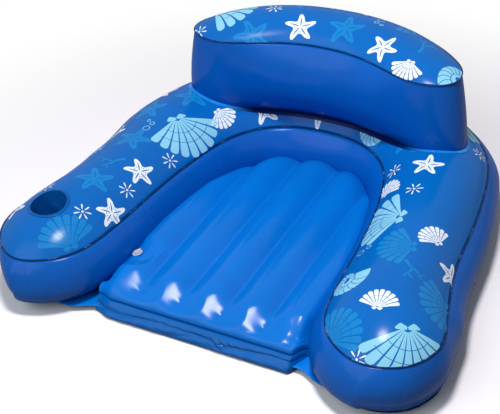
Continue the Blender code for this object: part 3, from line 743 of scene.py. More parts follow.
def painted_foot_shade(w, tone, height):
    """Painted shade: the bolster's wall is painted darker toward its weld on the ring, in its middle, where the
    undercut wall lies in shade.
    """
    tone, height = pleats(w, tone, height)
    # Painted shade: near-black navy blended into the lower band of the wall's middle
    low = w.ramp(w.parts(w.flat())["Y"], 0.80, 0.95, 0.0, 0.80)
    share = w.times(low, w.ramp(aside(w), 0.14, 0.23, 1.0, 0.0))
    return w.blend(share, tone, (0.0, 0.010, 0.075, 1.0)), height


def painted_flange_shade(w, tone, height):
    """Painted shade: the bolster's flange keeps its light colour at its ends and is painted dark navy between them,
    where it lies in the wall's shade.
    """
    # Painted shade: dark navy painted over the flange's middle
    return w.blend(w.ramp(aside(w), 0.17, 0.24), (0.0, 0.012, 0.090, 1.0), tone), height


def clear_vinyl(name):
    """The milky clear vinyl of the inflation valves."""
    material, w = new_material(name)
    cloud = w.noise(w.place(), 700.0, 3.0, 0.6)
    colour = w.blend(w.ramp(cloud, 0.35, 0.65), (0.60, 0.72, 0.84, 1.0), (0.86, 0.90, 0.94, 1.0))
    shader = finish_shader(w, colour, w.ramp(cloud, 0.3, 0.7, 0.16, 0.30), cloud, 0.0001, coat=0.4, specular=0.5)
    shader.inputs["Transmission Weight"].default_value = 0.35
    shader.inputs["IOR"].default_value = 1.5
    return material


# --- Pieces ---------------------------------------------------------------------------------

def lobe_push(plan):
    """The film is blown up a little more at the two front lobes."""
    return 1.0 + 0.24 * smoothstep((-plan[:, 1] - 0.15) / 0.15)


def ring_bulge(u):
    """How far the ring's wall bows out round the loop; less beside the seat and outside the lobes."""
    u = np.asarray(u) % RING.count
    depth = RING.at(u)[..., 1]
    well = smoothstep((depth + SEAM_HALF_DEPTH) / (SEAM_HALF_DEPTH / 2))
    lobe = smoothstep(-(depth + SEAM_HALF_DEPTH / 2) / (SEAM_HALF_DEPTH / 4)) * np.abs(RING.outward(u)[..., 0])
    inner = OUTER_BULGE + (INNER_BULGE - OUTER_BULGE) * well
    outer = OUTER_BULGE + (LOBE_BULGE - OUTER_BULGE) * lobe
    return np.where(u > RING.turn, inner, outer)


class POOLCHAIR_OT_ring(bpy.types.Operator):
    """Builds the ring's crowned top and bottom panels, its wall and its two welded lips"""
    bl_idname = "pool_chair.ring"
    bl_label = "Float ring"

    def execute(self, context):
        scene = context.scene
        shape, colours = scene.pool_chair_shape, scene.pool_chair_colours
        printed = vinyl("ring_printed_vinyl", colours.ring)
        wall_vinyl = vinyl("ring_wall_vinyl", colours.wall, gloss=0.38, marks_and_painted_shade=pleats)
        reach = LOWER_SEAM - 0.0002

        def standing(rise):
            return UPPER_SEAM + FILM + rise

        def hanging(rise):
            return np.maximum(LOWER_SEAM - FILM - reach * np.tanh(rise / reach), 0.0)

        mesh = crowned_mesh("ring_top_skin", RING, 352, 44, lobe_push, shape.crown, standing)
        SKINS["ring"] = skin_tree(mesh)
        self.open_cup_mouth(mesh)
        add_piece(mesh, ("ring_top_panel",), printed, FILM)
        mesh = crowned_mesh("ring_bottom_skin", RING, 176, 20, lobe_push, shape.crown, hanging)
        mesh.flip_normals()
        add_piece(mesh, ("ring_bottom_panel",), wall_vinyl, FILM)

        def wall(along, down):
            u = along * RING.count
            inner = u % RING.count > RING.turn
            bow = np.where(inner, bowed(down, 0.64, 0.8), bowed(down, 0.5, 0.95))
            plan = RING.offset(u, ring_bulge(u) * bow)
            z = (UPPER_SEAM - FILM) * (1.0 - down) + (LOWER_SEAM + FILM) * down
            return settled(np.column_stack([plan, z])), np.column_stack([RING.length_to(u), down])

        mesh = facing(grid_mesh("ring_wall_skin", 704, 22, wall), (0.0, 0.0, 0.066))
        bed_valve(mesh, "ring_valve", "ring_side_wall")
        add_piece(mesh, ("ring_side_wall",), wall_vinyl, FILM)

        seam = weld("ring_weld", shaded(colours.wall, 0.22))
        for name, level in (("ring_upper_weld", UPPER_SEAM), ("ring_lower_weld", LOWER_SEAM)):
            strip = strip_mesh(name, RING, 704, -0.001, 0.0030, level)
            set_coordinates(strip, settled(coordinates(strip)))
            add_piece(facing(strip, (0.0, 0.0, level)), (), seam)
        return {"FINISHED"}

    def open_cup_mouth(self, mesh):
        """Opens the panel over the cup pocket and draws the border to a circle."""
        builder = opened(mesh)
        centre = Vector(CUP_PLACE)
        radius = CUP_RADIUS + 0.001
        inside = [f for f in builder.faces if (f.calc_center_median().xy - centre).length < radius]
        bmesh.ops.delete(builder, geom=inside, context="FACES")
        for vert in builder.verts:
            away = vert.co.xy - centre
            if vert.is_boundary and away.length < CUP_RADIUS * 1.3:
                vert.co = dropped(SKINS["ring"], *(centre + away.normalized() * radius))[0]
        written(builder, mesh)


class POOLCHAIR_OT_cup_pocket(bpy.types.Operator):
    """Builds the cup pocket and the welded collar round its mouth"""
    bl_idname = "pool_chair.cup_pocket"
    bl_label = "Cup pocket"

    def execute(self, context):
        colours = context.scene.pool_chair_colours
        centre = np.array(CUP_PLACE)
        turns = np.linspace(0.0, TURN, 96, endpoint=False)
        rim = lay_on(SKINS["ring"], centre + CUP_RADIUS * unit(turns), CUP_GAP)
        floor = rim[:, 2].mean() - CUP_DEPTH

        def pocket(around, down):
            """The wall runs down for the first share of the rows; then come the corner and the base."""
            turn = TURN * around
            fall = np.clip(down / CUP_WALL_SHARE, 0.0, 1.0)
            inward = np.clip((down - CUP_WALL_SHARE) / (1.0 - CUP_WALL_SHARE), 0.0, 1.0)
            bend = np.clip(inward / CUP_CORNER_SHARE, 0.0, 1.0) * np.pi / 2
            base = (CUP_BASE_RADIUS - CUP_CORNER) * (1.0 - inward) / (1.0 - CUP_CORNER_SHARE)
            corner = CUP_BASE_RADIUS - CUP_CORNER * (1.0 - np.cos(bend))
            radius = CUP_RADIUS + (CUP_BASE_RADIUS - CUP_RADIUS) * fall
            radius = np.where(down <= CUP_WALL_SHARE, radius, np.where(inward < CUP_CORNER_SHARE, corner, base))
            top = np.interp(turn, np.append(turns, TURN), np.append(rim[:, 2], rim[0, 2]))
            z = top + (floor + CUP_CORNER - top) * fall
            z = np.where(down > CUP_WALL_SHARE, floor + CUP_CORNER * (1.0 - np.sin(bend)), z)
            crease = 0.0006 * np.sin(7.0 * turn + 9.0 * fall) * np.sin(np.pi * fall)
            plan = centre + (radius + crease)[:, None] * unit(turn)
            return np.column_stack([plan, z]), np.column_stack([around, down])

        dark = vinyl("cup_pocket_vinyl", colours.pocket, gloss=0.22, waviness=2.0)
        mesh = facing(grid_mesh("cup_pocket_skin", 96, 40, pocket), (*centre, floor + 0.05))
        mesh.flip_normals()
        add_piece(mesh, ("cup_holder_pocket",), dark)

        def collar(around, across):
            turn = TURN * around
            loop = TURN * across
            reach = CUP_RADIUS + 0.0026 + 0.0030 * squarish(np.cos(loop), 0.7)
            spots = lay_on(SKINS["ring"], centre + reach[:, None] * unit(turn), CUP_GAP)
            spots[:, 2] += 0.0005 * np.sin(loop)
            return spots, np.column_stack([turn * CUP_RADIUS, across])

        rim_vinyl = weld("cup_collar_weld", shaded(colours.ring, 0.7), (0.20, 0.48, 0.80), painted_glints=0.3)
        mesh = facing(grid_mesh("cup_collar", 96, 10, collar), (*centre, floor))
        add_piece(mesh, (), rim_vinyl)
        return {"FINISHED"}


def bolster_bulge(u):
    """How far the bolster's wall bows out: most in its concave front, least round its ends."""
    u = np.asarray(u) % BOLSTER.count
    most = np.where(u > BOLSTER.turn, BACKREST_FRONT_BULGE, BACKREST_REAR_BULGE)
    share = 1.0 / (1.0 + (BOLSTER.at(u)[..., 0] / BACKREST_BULGE_SPAN) ** 6)
    return BACKREST_END_BULGE + (most - BACKREST_END_BULGE) * share


class POOLCHAIR_OT_backrest(bpy.types.Operator):
    """Builds the backrest bolster: crowned top, wall, top lip and the flange at its foot"""
    bl_idname = "pool_chair.backrest"
    bl_label = "Backrest"

    def execute(self, context):
        colours = context.scene.pool_chair_colours
        shape = context.scene.pool_chair_shape
        printed = vinyl("backrest_printed_vinyl", colours.ring)
        wall_vinyl = vinyl("backrest_wall_vinyl", colours.wall, gloss=0.38, marks_and_painted_shade=painted_foot_shade)

        def standing(rise):
            return BACKREST_SEAM + FILM + rise

        slack = shape.crown * BACKREST_CROWN
        mesh = crowned_mesh("backrest_top_skin", BOLSTER, 192, 36, lambda plan: 1.0, slack, standing)
        SKINS["backrest"] = skin_tree(mesh)
        add_piece(mesh, ("backrest_top_panel",), printed, FILM)

        def wall(along, down):
            u = along * BOLSTER.count
            top = np.column_stack([BOLSTER.at(u), np.full(len(u), BACKREST_SEAM - FILM)])
            base = lay_on(SKINS["ring"], BOLSTER_BASE.at(u), 0.0005)
            spots = top + (base - top) * down[:, None]
            spots[:, :2] += BOLSTER_BASE.outward(u) * (bolster_bulge(u) * bowed(down, 0.56, 0.85))[:, None]
            return spots, np.column_stack([BOLSTER.length_to(u), down])

        mesh = facing(grid_mesh("backrest_wall_skin", 384, 44, wall), (0.0, 0.30, 0.25))
        bed_valve(mesh, "backrest_valve", "backrest_side_wall")
        add_piece(mesh, ("backrest_side_wall",), wall_vinyl, FILM)

        seam = weld("backrest_weld", shaded(colours.wall, 0.22), painted_glints=0.4)
        mesh = strip_mesh("backrest_upper_weld", BOLSTER, 384, -0.001, 0.0026, BACKREST_SEAM)
        add_piece(facing(mesh, (0.0, 0.29, BACKREST_SEAM)), (), seam)

        def on_ring(plan):
            return lay_on(SKINS["ring"], plan, 0.0006)[:, 2]

        foot = weld("backrest_foot_weld", (0.01, 0.22, 0.66), (0.30, 0.62, 0.90), 0.005, 0.6, painted_flange_shade)
        mesh = strip_mesh("backrest_foot_flange", BOLSTER_BASE, 384, -0.001, 0.008, on_ring)
        add_piece(facing(mesh, (0.0, 0.29, 0.16)), (), foot)
        return {"FINISHED"}


def well_line():
    """The right half of the ring's inner seam, from the lobe's tip to the rear, as plan points."""
    u = np.linspace(RING.turn, RING.turn * 1.5, 400)
    return RING.offset(u, SEAT_INSET)


class POOLCHAIR_OT_seat(bpy.types.Operator):
    """Builds the channelled seat pad, its crumpled front and the sheet below it"""
    bl_idname = "pool_chair.seat"
    bl_label = "Seat pad"

    def execute(self, context):
        colours = context.scene.pool_chair_colours
        shape = context.scene.pool_chair_shape
        seat_vinyl = vinyl("seat_pad_vinyl", colours.seat, gloss=0.25, waviness=0.8, coat=0.30)
        line = well_line()
        depth_order = np.argsort(line[:, 1])
        rear = line[line[:, 1] > 0.0]
        width_order = np.argsort(rear[:, 0])

        def side_x(y):
            return np.minimum(SEAT_HALF_WIDTH, np.interp(y, line[depth_order, 1], line[depth_order, 0]))

        def rear_y(x):
            return np.interp(np.abs(x), rear[width_order, 0], rear[width_order, 1])

        def front_edge(x):
            """Depth of the pad's front edge, drawn back at its corners and tucked at the right one."""
            right = smoothstep((x - 0.193) / 0.024)
            left = smoothstep((-x - 0.180) / 0.036)
            return SEAT_FRONT_EDGE + 0.040 * right + 0.010 * left

        def plan_of(across, along):
            """Columns that run straight in the middle and follow the well at the sides."""
            side = 2.0 * across - 1.0
            middle = 1.0 - 1.0 / CHANNELS
            x_straight = side * SEAT_HALF_WIDTH
            groove_x = middle * SEAT_HALF_WIDTH
            inner_y = -SEAT_FRONT + (rear_y(np.minimum(np.abs(x_straight), groove_x)) + SEAT_FRONT) * along
            edge_y = -SEAT_FRONT + (SEAT_REAR_CORNER + SEAT_FRONT) * along
            share = np.clip((np.abs(side) - middle) / (1.0 - middle), 0.0, 1.0)
            turn = np.sin(share * np.pi / 2)
            x = np.where(share > 0.0, groove_x + (side_x(edge_y) - groove_x) * turn, np.abs(x_straight))
            y = inner_y + (edge_y - inner_y) * turn * (share > 0.0)
            last = (along > 0.999) & (share > 0.0) & (share < 1.0)
            y = np.where(last, rear_y(x), y)
            x *= np.sign(side)
            return x, y + (front_edge(x) + SEAT_FRONT) * (1.0 - along) ** 2

        sides = plan_of(np.ones(200), np.linspace(0.0, 1.0, 200))
        rears = plan_of(np.linspace(1.0, 0.5, 160), np.ones(160))
        border = np.concatenate([np.column_stack(sides), np.column_stack(rears)])

        def edge_distance(x, y):
            point = np.column_stack([np.abs(x), y])
            best = np.full(len(point), 1.0)
            for start, end in zip(border, border[1:]):
                along = end - start
                long = along @ along
                share = np.clip(((point - start) @ along) / max(long, 1e-12), 0.0, 1.0)
                best = np.minimum(best, np.linalg.norm(point - start - share[:, None] * along, axis=1))
            return best

        def top(across, along):
            x, y = plan_of(across, eased(along, 0.5))
            front = y - front_edge(x)
            radius = SEAT_SIDE_ROLL + (SEAT_REAR_ROLL - SEAT_SIDE_ROLL) * smoothstep(y / SEAT_REAR_CORNER)
            rise = SEAT_FRONT_RISE + (shape.seat_rise - SEAT_FRONT_RISE) * rolled(front, SEAT_FRONT_ROLL)
            cell = np.abs(((x / CHANNEL_PITCH + 0.5) % 1.0) * 2.0 - 1.0)
            cell = np.where(np.abs(x) > CHANNEL_PITCH * (CHANNELS / 2 - 0.5), 0.0, cell)
            soft = np.maximum(0.0, 1.0 - np.hypot(1.0 - cell, 0.07))
            depth = shape.groove * smoothstep((front - 0.020) / 0.057)
            share = (1.0 - depth * soft ** 2.0) * rolled(edge_distance(x, y), radius)
            z = SEAT_LIP_HEIGHT + rise * share
            for middle in DIP_PLACES:
                away = np.hypot(x - middle * CHANNEL_PITCH + DIP_SHIFT, (front - DIP_SETBACK) * 1.3)
                dip = np.maximum(0.0, 1.0 - away / DIP_RADIUS) ** 1.12
                z -= DIP_DEPTH * share * dip * smoothstep(front / 0.012)
            return np.column_stack([x, y, z]), np.column_stack([x, y])

        mesh = facing(grid_mesh("seat_top_skin", 220, 200, top))
        bed_valve(mesh, "seat_valve", "seat_top_sheet")
        add_piece(mesh, ("seat_top_sheet",), seat_vinyl, FILM)
        brow = top(np.linspace(0.0, 1.0, 400), np.zeros(400))[0]

        def crumple(x, z, wide, tall):
            return np.array([noise.noise(Vector((a * wide, 3.0, b * tall))) for a, b in zip(x, z)])

        def apron(across, down):
            x = (2.0 * across - 1.0) * (SEAT_HALF_WIDTH - 0.001)
            y, high = (np.interp(x, brow[:, 0], brow[:, k]) for k in (1, 2))
            z = high + (APRON_FOOT - high) * down
            crease = 0.40 + 0.36 * crumple(x, 0.0 * x, 9.0, 1.0)
            deep = 0.5 + 1.2 * np.abs(crumple(x + 4.0, 0.0 * x, 7.0, 1.0))
            roll = 0.0048 * deep * bowed(np.minimum(down / crease, 1.0), 0.5, 0.9)
            roll += 0.0040 * bowed(np.clip((down - crease) / (1.0 - crease), 0.0, 1.0), 0.45, 0.9)
            bunched = 1.0 + 2.2 * np.exp(-((x - 0.060) / 0.022) ** 2)
            folds = 0.0050 * np.abs(crumple(x + 1.0, z - 0.10 * x, 5.0, 60.0))
            folds += 0.0024 * bunched * np.abs(crumple(x, z + 0.3 * x, 30.0, 90.0))
            reach = 0.018 * down + roll + folds * np.sin(np.pi * np.clip(down, 0.0, 1.0)) ** 0.6
            return np.column_stack([x, y - reach, z]), np.column_stack([across, down])

        front_vinyl = vinyl("seat_front_vinyl", shaded(colours.seat, 0.70), gloss=0.20, waviness=2.2)
        mesh = facing(grid_mesh("seat_front_skin", 360, 48, apron), (0.0, 0.0, 0.03))
        add_piece(mesh, ("seat_front_apron",), front_vinyl, FILM)

        def floor(across, along):
            edge_y = -0.374 - 0.022 * smoothstep((np.abs(2.0 * across - 1.0) - 0.80) / 0.12)
            y = edge_y + (line[:, 1].max() - edge_y) * along
            half = np.interp(y, line[depth_order, 1], line[depth_order, 0]) + SEAT_INSET - 0.001
            x = half * (2.0 * across - 1.0)
            return np.column_stack([x, y, np.full(len(x), FLOOR_SHEET_HEIGHT)]), np.column_stack([x, y])

        sheet_vinyl = vinyl("seat_sheet_vinyl", shaded(colours.seat, 1.15), gloss=0.2)
        mesh = facing(grid_mesh("seat_floor_skin", 80, 80, floor))
        add_piece(mesh, ("seat_floor_sheet",), sheet_vinyl, SHEET_FILM)
        return {"FINISHED"}


# --- The print ------------------------------------------------------------------------------

def polar(reach, angle):
    return reach * math.cos(angle), reach * math.sin(angle)


def star_shape(arms, waist, lean):
    """A soft star of unit size, as plan points for shares of its turn and radius."""
    def place(around, reach):
        turn = TURN * around
        size = reach * (waist + (1.0 - waist) * (0.5 + 0.5 * np.cos(arms * turn)) ** 1.9)
        return size[:, None] * unit(turn + lean * size ** 2)
    return place


def disc_shape(x, y, radius):
    return lambda around, reach: np.array([x, y]) + (reach * radius)[:, None] * unit(TURN * around)


def stroke_shape(points, widths):
    """A stroke along a smooth line of plan points, with one width or a width at each point."""
    widths = np.broadcast_to(widths, len(points))
    stations = np.linspace(0.0, 1.0, len(points))

    def line(along):
        return np.column_stack([np.interp(np.clip(along, 0.0, 1.0), stations, column) for column in zip(*points)])

    def place(along, across):
        dx, dy = (line(along + 0.02) - line(along - 0.02)).T
        half = np.interp(along, stations, widths) * (across - 0.5) / (np.hypot(dx, dy) + 1e-9)
        return line(along) + np.column_stack([-dy * half, dx * half])
    return place


def arc_points(x, y, radius, start, end, count):
    turns = np.radians(np.linspace(start, end, count))
    return [(x + radius * math.cos(t), y + radius * math.sin(t)) for t in turns]


# Each motif is drawn at unit size, as parts: ink, layer, columns, rows and shape

def starfish(ink):
    """A plump starfish with a line and a few dots down each arm."""
    parts = [(ink, 1, 60, 8, star_shape(5, 0.46, 0.12))]
    for arm in range(5):
        turn = math.radians(72.0 * arm)
        reaches = [0.10 + 0.15 * step for step in range(5)]
        line = [polar(reach, turn + 0.12 * reach ** 2) for reach in reaches]
        parts.append(("ground", 2, 10, 2, stroke_shape(line, (0.02, 0.075, 0.07, 0.05, 0.01))))
        for side in (-1, 1):
            parts.append(("ground", 2, 8, 2, disc_shape(*polar(0.36, turn + side * 0.42), 0.032)))
    return parts


def scallop(ink):
    """A scallop shell: ribs that fan out from the hinge, with thin gaps between them."""
    parts = []
    ribs, fan = 9, 124.0
    for rib in range(ribs):
        angle = math.radians(fan * rib / (ribs - 1) - fan / 2)
        reach = 1.62 + 0.22 * math.cos(angle * 1.35)
        x, y = reach * math.sin(angle), reach * math.cos(angle)
        points = [(x * s * (0.94 + 0.06 * s), y * s - 0.85) for s in (0.10, 0.30, 0.55, 0.80, 0.93, 0.985, 1.0)]
        wide = reach * math.radians(fan / (ribs - 1))
        widths = [wide * w for w in (0.09, 0.23, 0.44, 0.66, 0.72, 0.55, 0.16)]
        parts.append((ink, 1, 28, 4, stroke_shape(points, widths)))
    for side in (-1, 1):
        points = [(side * 0.02, -0.80), (side * 0.22, -0.86), (side * 0.40, -0.80)]
        parts.append((ink, 1, 10, 4, stroke_shape(points, (0.10, 0.24, 0.05))))
    for share in (0.45, 0.70):
        points = arc_points(0.0, -0.85, 1.74 * share, 32.0, 148.0, 17)
        parts.append(("ground", 2, 48, 2, stroke_shape(points, 0.022)))
    return parts


def nautilus(ink):
    """A coiled shell whose whorl widens outward, with curved ribs across it."""
    def outer(turn):
        return math.exp(0.155 * (turn - 4.2 * math.pi))

    turns = [0.6 * math.pi + 3.6 * math.pi * k / 45 for k in range(46)]
    points = [polar(0.69 * outer(t), t) for t in turns]
    parts = [(ink, 1, 90, 4, stroke_shape(points, [0.56 * outer(t) for t in turns]))]
    for rib in range(15):
        turn = (2.15 + 0.132 * rib) * math.pi
        line = []
        for share in (0.0, 0.25, 0.5, 0.75, 1.0):
            angle = turn - 0.15 * (1.0 - (2.0 * share - 1.0) ** 2) + 0.10 * share
            line.append(polar(outer(angle) * (0.40 + 0.58 * share), angle))
        parts.append(("ground", 2, 10, 2, stroke_shape(line, 0.028)))
    return parts


def burst(ink):
    """A little spray of drops round a dot."""
    parts = [(ink, 1, 10, 2, disc_shape(0.0, 0.0, 0.14))]
    for drop in range(7):
        line = [polar(reach, TURN * drop / 7.0) for reach in (0.26, 0.45, 0.75, 0.96, 1.0)]
        parts.append((ink, 1, 10, 2, stroke_shape(line, (0.02, 0.10, 0.17, 0.13, 0.03))))
    return parts


def coral(ink):
    """A forked sprig of coral with rounded ends."""
    parts = []

    def branch(x, y, angle, long, wide, depth):
        bend = 0.35 if depth % 2 else -0.35
        turns = [(share, angle + bend * share) for share in (0.0, 0.25, 0.5, 0.75, 1.0)]
        points = [(x + long * share * math.sin(turn), y + long * share * math.cos(turn)) for share, turn in turns]
        widths = [wide * w for w in (1.0, 0.92, 0.85, 0.8, 0.72)]
        parts.append((ink, 0, 16, 4, stroke_shape(points, widths)))
        tip = points[-1]
        parts.append((ink, 0, 12, 2, disc_shape(*tip, wide * 0.42)))
        if depth:
            for side in (-0.62, 0.55):
                branch(*tip, angle + bend + side, long * 0.72, wide * 0.78, depth - 1)

    branch(0.0, -1.0, 0.0, 0.72, 0.20, 2)
    return parts


def bubbles(ink):
    """A rising string of little rings."""
    rings = ((0.0, -0.6, 0.30), (0.42, 0.05, 0.20), (0.05, 0.55, 0.14))
    return [(ink, 1, 32, 2, stroke_shape(arc_points(*ring, 0.0, 360.0, 33), 0.07)) for ring in rings]


# Motif, ink, size, clear reach, and how many go on the ring and on the backrest
MOTIFS = (
    (scallop, "pale", 0.054, 0.052, 6, 1), (nautilus, "pale", 0.052, 0.050, 4, 1),
    (starfish, "white", 0.034, 0.032, 10, 3), (scallop, "tonal", 0.038, 0.036, 5, 2),
    (starfish, "tonal", 0.040, 0.036, 5, 2), (scallop, "white", 0.024, 0.027, 5, 1),
    (coral, "tonal", 0.034, 0.030, 4, 1), (burst, "white", 0.018, 0.017, 10, 3),
    (bubbles, "pale", 0.024, 0.022, 5, 1),
)
TRIES = 240
MOST_OVERLAP = 0.014


def part_mesh(columns, rows, place):
    """A flat part of a motif, as plan points and faces."""
    builder, shares = new_grid(columns, rows)
    faces = [[v.index for v in face.verts] for face in builder.faces]
    builder.free()
    return place(shares[:, 0], shares[:, 1]), faces


class POOLCHAIR_OT_print(bpy.types.Operator):
    """Lays the printed sea motifs on the ring's and the backrest's top panels"""
    bl_idname = "pool_chair.print"
    bl_label = "Print"

    def execute(self, context):
        colours = context.scene.pool_chair_colours
        settings = context.scene.pool_chair_print
        inks = {
            "white": vinyl("white_ink", colours.white_ink, deep=0.92),
            "pale": vinyl("pale_ink", colours.pale_ink, deep=0.85),
            "tonal": vinyl("tonal_ink", colours.tonal_ink, deep=0.85),
            "ground": vinyl("ground_ink", colours.ring),
        }
        dice = random.Random(settings.seed)
        for panel, outline in (("ring", RING), ("backrest", BOLSTER)):
            layers = {ink: bmesh.new() for ink in inks}
            for centre, turn, motif, size in self.spread_motifs(dice, outline, panel):
                self.lay_motif(layers, SKINS[panel], centre, turn, motif, size * settings.scale)
            for ink, builder in layers.items():
                if not builder.faces:
                    builder.free()
                    continue
                bmesh.ops.remove_doubles(builder, verts=builder.verts, dist=0.00001)
                mesh = written(builder, bpy.data.meshes.new(f"{panel}_print_{ink}"))
                facing_up(mesh)
                add_piece(mesh, (), inks[ink])
        return {"FINISHED"}

    def spread_motifs(self, dice, outline, panel):
        """Places, turns, shapes and sizes of motifs, the large ones first, kept apart by their own reach."""
        placed = []
        for maker, ink, size, reach, *counts in MOTIFS:
            for _ in range(counts[panel != "ring"]):
                best, best_room = None, -1.0
                for _ in range(TRIES):
                    along, across = dice.random(), 0.06 + 0.88 * dice.random()
                    x, y = outline.across(np.array([along]), np.array([across]))[0]
                    if panel == "ring" and not self.clear_on_ring(x, y, reach):
                        continue
                    room = min([math.hypot(x - a, y - b) - r - reach for a, b, r in placed] or [1.0])
                    if room > best_room:
                        best, best_room = (x, y), room
                if best is None or best_room < -MOST_OVERLAP:
                    continue
                placed.append((*best, reach))
                yield best, dice.uniform(0.0, TURN), maker(ink), size

    def clear_on_ring(self, x, y, reach):
        """Whether a motif fits here: off the cup's collar, off the backrest and off the plain stretch."""
        if math.hypot(x - CUP_PLACE[0], y - CUP_PLACE[1]) < CUP_RADIUS + 0.008 + reach * 0.8:
            return False
        if x + reach * 0.7 > 0.300 and -0.08 < y < 0.23:
            return False
        return not point_within(BOLSTER_BASE, x, y, -0.020)

    def lay_motif(self, layers, tree, centre, turn, motif, scale):
        """Projects a flat motif square to the skin at its middle and trims it at the seam."""
        spot, normal = dropped(tree, *centre)
        if spot is None:
            return
        side = Vector((math.cos(turn), math.sin(turn), 0.0))
        side = (side - normal * side.dot(normal)).normalized()
        up = normal.cross(side)
        for ink, layer, columns, rows, place in motif:
            plan, faces = part_mesh(columns, rows, place)
            builder = layers[ink]
            verts, hits = [], []
            for x, y in plan * scale:
                start = spot + side * x + up * y + normal * 0.05
                hit, away = tree.ray_cast(start, -normal, 0.14)[:2]
                hits.append(hit is not None)
                if hit is None:
                    hit, away = tree.find_nearest(start - normal * 0.06)[:2]
                verts.append(builder.verts.new(hit + away * (0.00010 + 0.00006 * layer)))
            for face in faces:
                if any(hits[i] for i in face):
                    builder.faces.new([verts[i] for i in face])


def facing_up(mesh):
    """Turns every face of a print upward."""
    builder = opened(mesh)
    loose = [v for v in builder.verts if not v.link_faces]
    bmesh.ops.delete(builder, geom=loose, context="VERTS")
    down = [f for f in builder.faces if f.normal.z < 0.0]
    bmesh.ops.reverse_faces(builder, faces=down)
    written(builder, mesh)


def point_within(outline, x, y, grow):
    """Whether a plan point lies within an outline grown by a distance."""
    u = np.linspace(0.0, outline.count, 200, endpoint=False)
    loop = outline.offset(u, grow)
    following = np.roll(loop, -1, 0)
    step = following - loop
    crosses = (loop[:, 1] > y) != (following[:, 1] > y)
    at = loop[:, 0] + (y - loop[:, 1]) / np.where(crosses, step[:, 1], 1.0) * step[:, 0]
    return bool(np.sum(crosses & (x < at)) % 2)


class POOLCHAIR_OT_valves(bpy.types.Operator):
    """Gives the inflation valves and the inner ribs their materials"""
    bl_idname = "pool_chair.valves"
    bl_label = "Valves and ribs"

    def execute(self, context):
        clear = clear_vinyl("valve_clear_vinyl")
        inner = vinyl("rib_vinyl", context.scene.pool_chair_colours.seat)
        for name, node in frame["nodes"].items():
            if "valve" in name or "rib" in name:
                node.data.materials.clear()
                node.data.materials.append(clear if "valve" in name else inner)
        return {"FINISHED"}


# --- Stage ----------------------------------------------------------------------------------

# Lamps: name, place, size and colour; the power is the setting of the same name
LAMPS = (
    ("key", (0.20, -0.50, 2.4), 0.46, (1.0, 0.93, 0.98)),
    ("fill", (-1.4, -3.4, 3.1), 4.6, (0.93, 0.97, 1.0)),
)


def seeing_rays(w):
    """The light path, and the share of rays that show the stage bright: seen, mirrored or let through."""
    path = w.node("ShaderNodeLightPath").outputs
    bent = w.maths("MAXIMUM", path["Is Glossy Ray"], path["Is Transmission Ray"])
    return path, w.maths("MAXIMUM", path["Is Camera Ray"], bent)


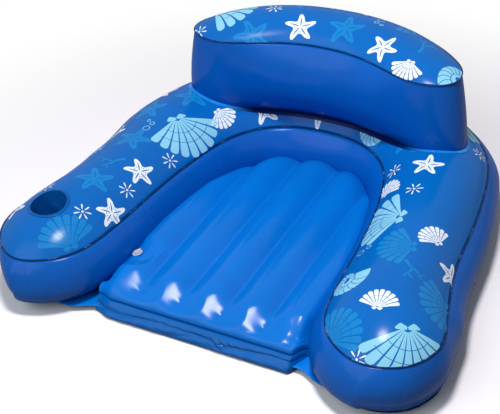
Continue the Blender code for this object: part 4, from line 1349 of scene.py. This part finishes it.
class POOLCHAIR_OT_stage(bpy.types.Operator):
    """Sets the pale floor, the soft studio light and the camera"""
    bl_idname = "pool_chair.stage"
    bl_label = "Stage"

    def execute(self, context):
        scene = context.scene
        settings = scene.pool_chair_light
        scene.view_settings.view_transform = "Standard"
        self.floor()
        self.world(scene, settings.sky)
        for name, place, size, colour in LAMPS:
            self.lamp(name + "_light", place, size, getattr(settings, name), colour)
        self.camera(scene)
        return {"FINISHED"}

    def floor(self):
        builder = bmesh.new()
        bmesh.ops.create_grid(builder, x_segments=2, y_segments=2, size=9.0)
        floor = linked("floor", written(builder, bpy.data.meshes.new("floor")))
        material, w = new_material("floor_paper")
        w.tree.nodes.remove(w.tree.nodes["Principled BSDF"])
        path, seen = seeing_rays(w)
        pale, dim = (w.node("ShaderNodeBsdfDiffuse", {"Color": (c, c, c, 1.0)}).outputs[0] for c in (0.97, 0.17))
        away = w.node("ShaderNodeVectorMath", {0: w.place()}, operation="LENGTH").outputs["Value"]
        fade = w.times(w.ramp(away, 0.55, 1.10), path["Is Camera Ray"])
        clear = w.node("ShaderNodeBsdfTransparent").outputs[0]
        mix = w.mix(fade, w.mix(seen, dim, pale), clear)
        w.put(mix, w.tree.nodes["Material Output"].inputs["Surface"])
        floor.data.materials.append(material)

    def world(self, scene, strength):
        world = bpy.data.worlds.new("studio")
        scene.world = world
        world.use_nodes = True
        w = Wires(world.node_tree)
        seen = seeing_rays(w)[1]
        low = w.tree.nodes["Background"]
        low.inputs["Color"].default_value = (0.90, 0.95, 1.0, 1.0)
        low.inputs["Strength"].default_value = strength
        white = w.node("ShaderNodeBackground", {"Color": (1.0, 1.0, 1.0, 1.0), "Strength": 1.0}).outputs[0]
        w.put(w.mix(seen, low.outputs[0], white), w.tree.nodes["World Output"].inputs["Surface"])

    def lamp(self, name, place, size, power, colour):
        data = bpy.data.lights.new(name, "AREA")
        data.shape = "DISK"
        data.size = size
        data.energy = power
        data.color = colour
        lamp = linked(name, data)
        aim = Vector((0.0, 0.0, 0.1)) - Vector(place)
        lamp.matrix_world = Matrix.Translation(Vector(place)) @ aim.to_track_quat("-Z", "Y").to_matrix().to_4x4()

    def camera(self, scene):
        data = bpy.data.cameras.new("photo_camera")
        data.sensor_fit = "HORIZONTAL"
        data.sensor_width = SENSOR
        data.lens = SENSOR * CAMERA_FOCAL / FRAME_WIDTH
        data.clip_end = 50.0
        camera = linked("photo_camera", data)
        right = Vector(CAMERA_RIGHT).normalized()
        up = Vector(CAMERA_UP)
        up = (up - right * up.dot(right)).normalized()
        turn = Matrix((right, up, right.cross(up))).transposed().to_4x4()
        camera.matrix_world = Matrix.Translation(Vector(CAMERA_PLACE)) @ turn
        scene.camera = camera


OPERATORS = (
    POOLCHAIR_OT_ring, POOLCHAIR_OT_cup_pocket, POOLCHAIR_OT_backrest, POOLCHAIR_OT_seat,
    POOLCHAIR_OT_print, POOLCHAIR_OT_valves, POOLCHAIR_OT_stage,
)
SKINS = {}


class POOLCHAIR_PT_panel(bpy.types.Panel):
    """Lists the chair's settings and the steps that build it"""
    bl_idname = "POOLCHAIR_PT_panel"
    bl_label = "Pool chair"
    bl_space_type = "VIEW_3D"
    bl_region_type = "UI"
    bl_category = "Pool chair"

    def draw(self, context):
        for name, kind in SETTINGS:
            box = self.layout.box()
            for key in kind.__annotations__:
                box.prop(getattr(context.scene, name), key)
        for operator in OPERATORS:
            self.layout.operator(operator.bl_idname)


def register():
    for name, kind in SETTINGS:
        bpy.utils.register_class(kind)
        setattr(bpy.types.Scene, name, PointerProperty(type=kind))
    for kind in (*OPERATORS, POOLCHAIR_PT_panel):
        bpy.utils.register_class(kind)


def unregister():
    for kind in (POOLCHAIR_PT_panel, *reversed(OPERATORS)):
        bpy.utils.unregister_class(kind)
    for name, kind in reversed(SETTINGS):
        delattr(bpy.types.Scene, name)
        bpy.utils.unregister_class(kind)


def main():
    register()
    for operator in OPERATORS:
        group, call = operator.bl_idname.split(".")
        getattr(getattr(bpy.ops, group), call)()


if __name__ == "__main__":
    main()
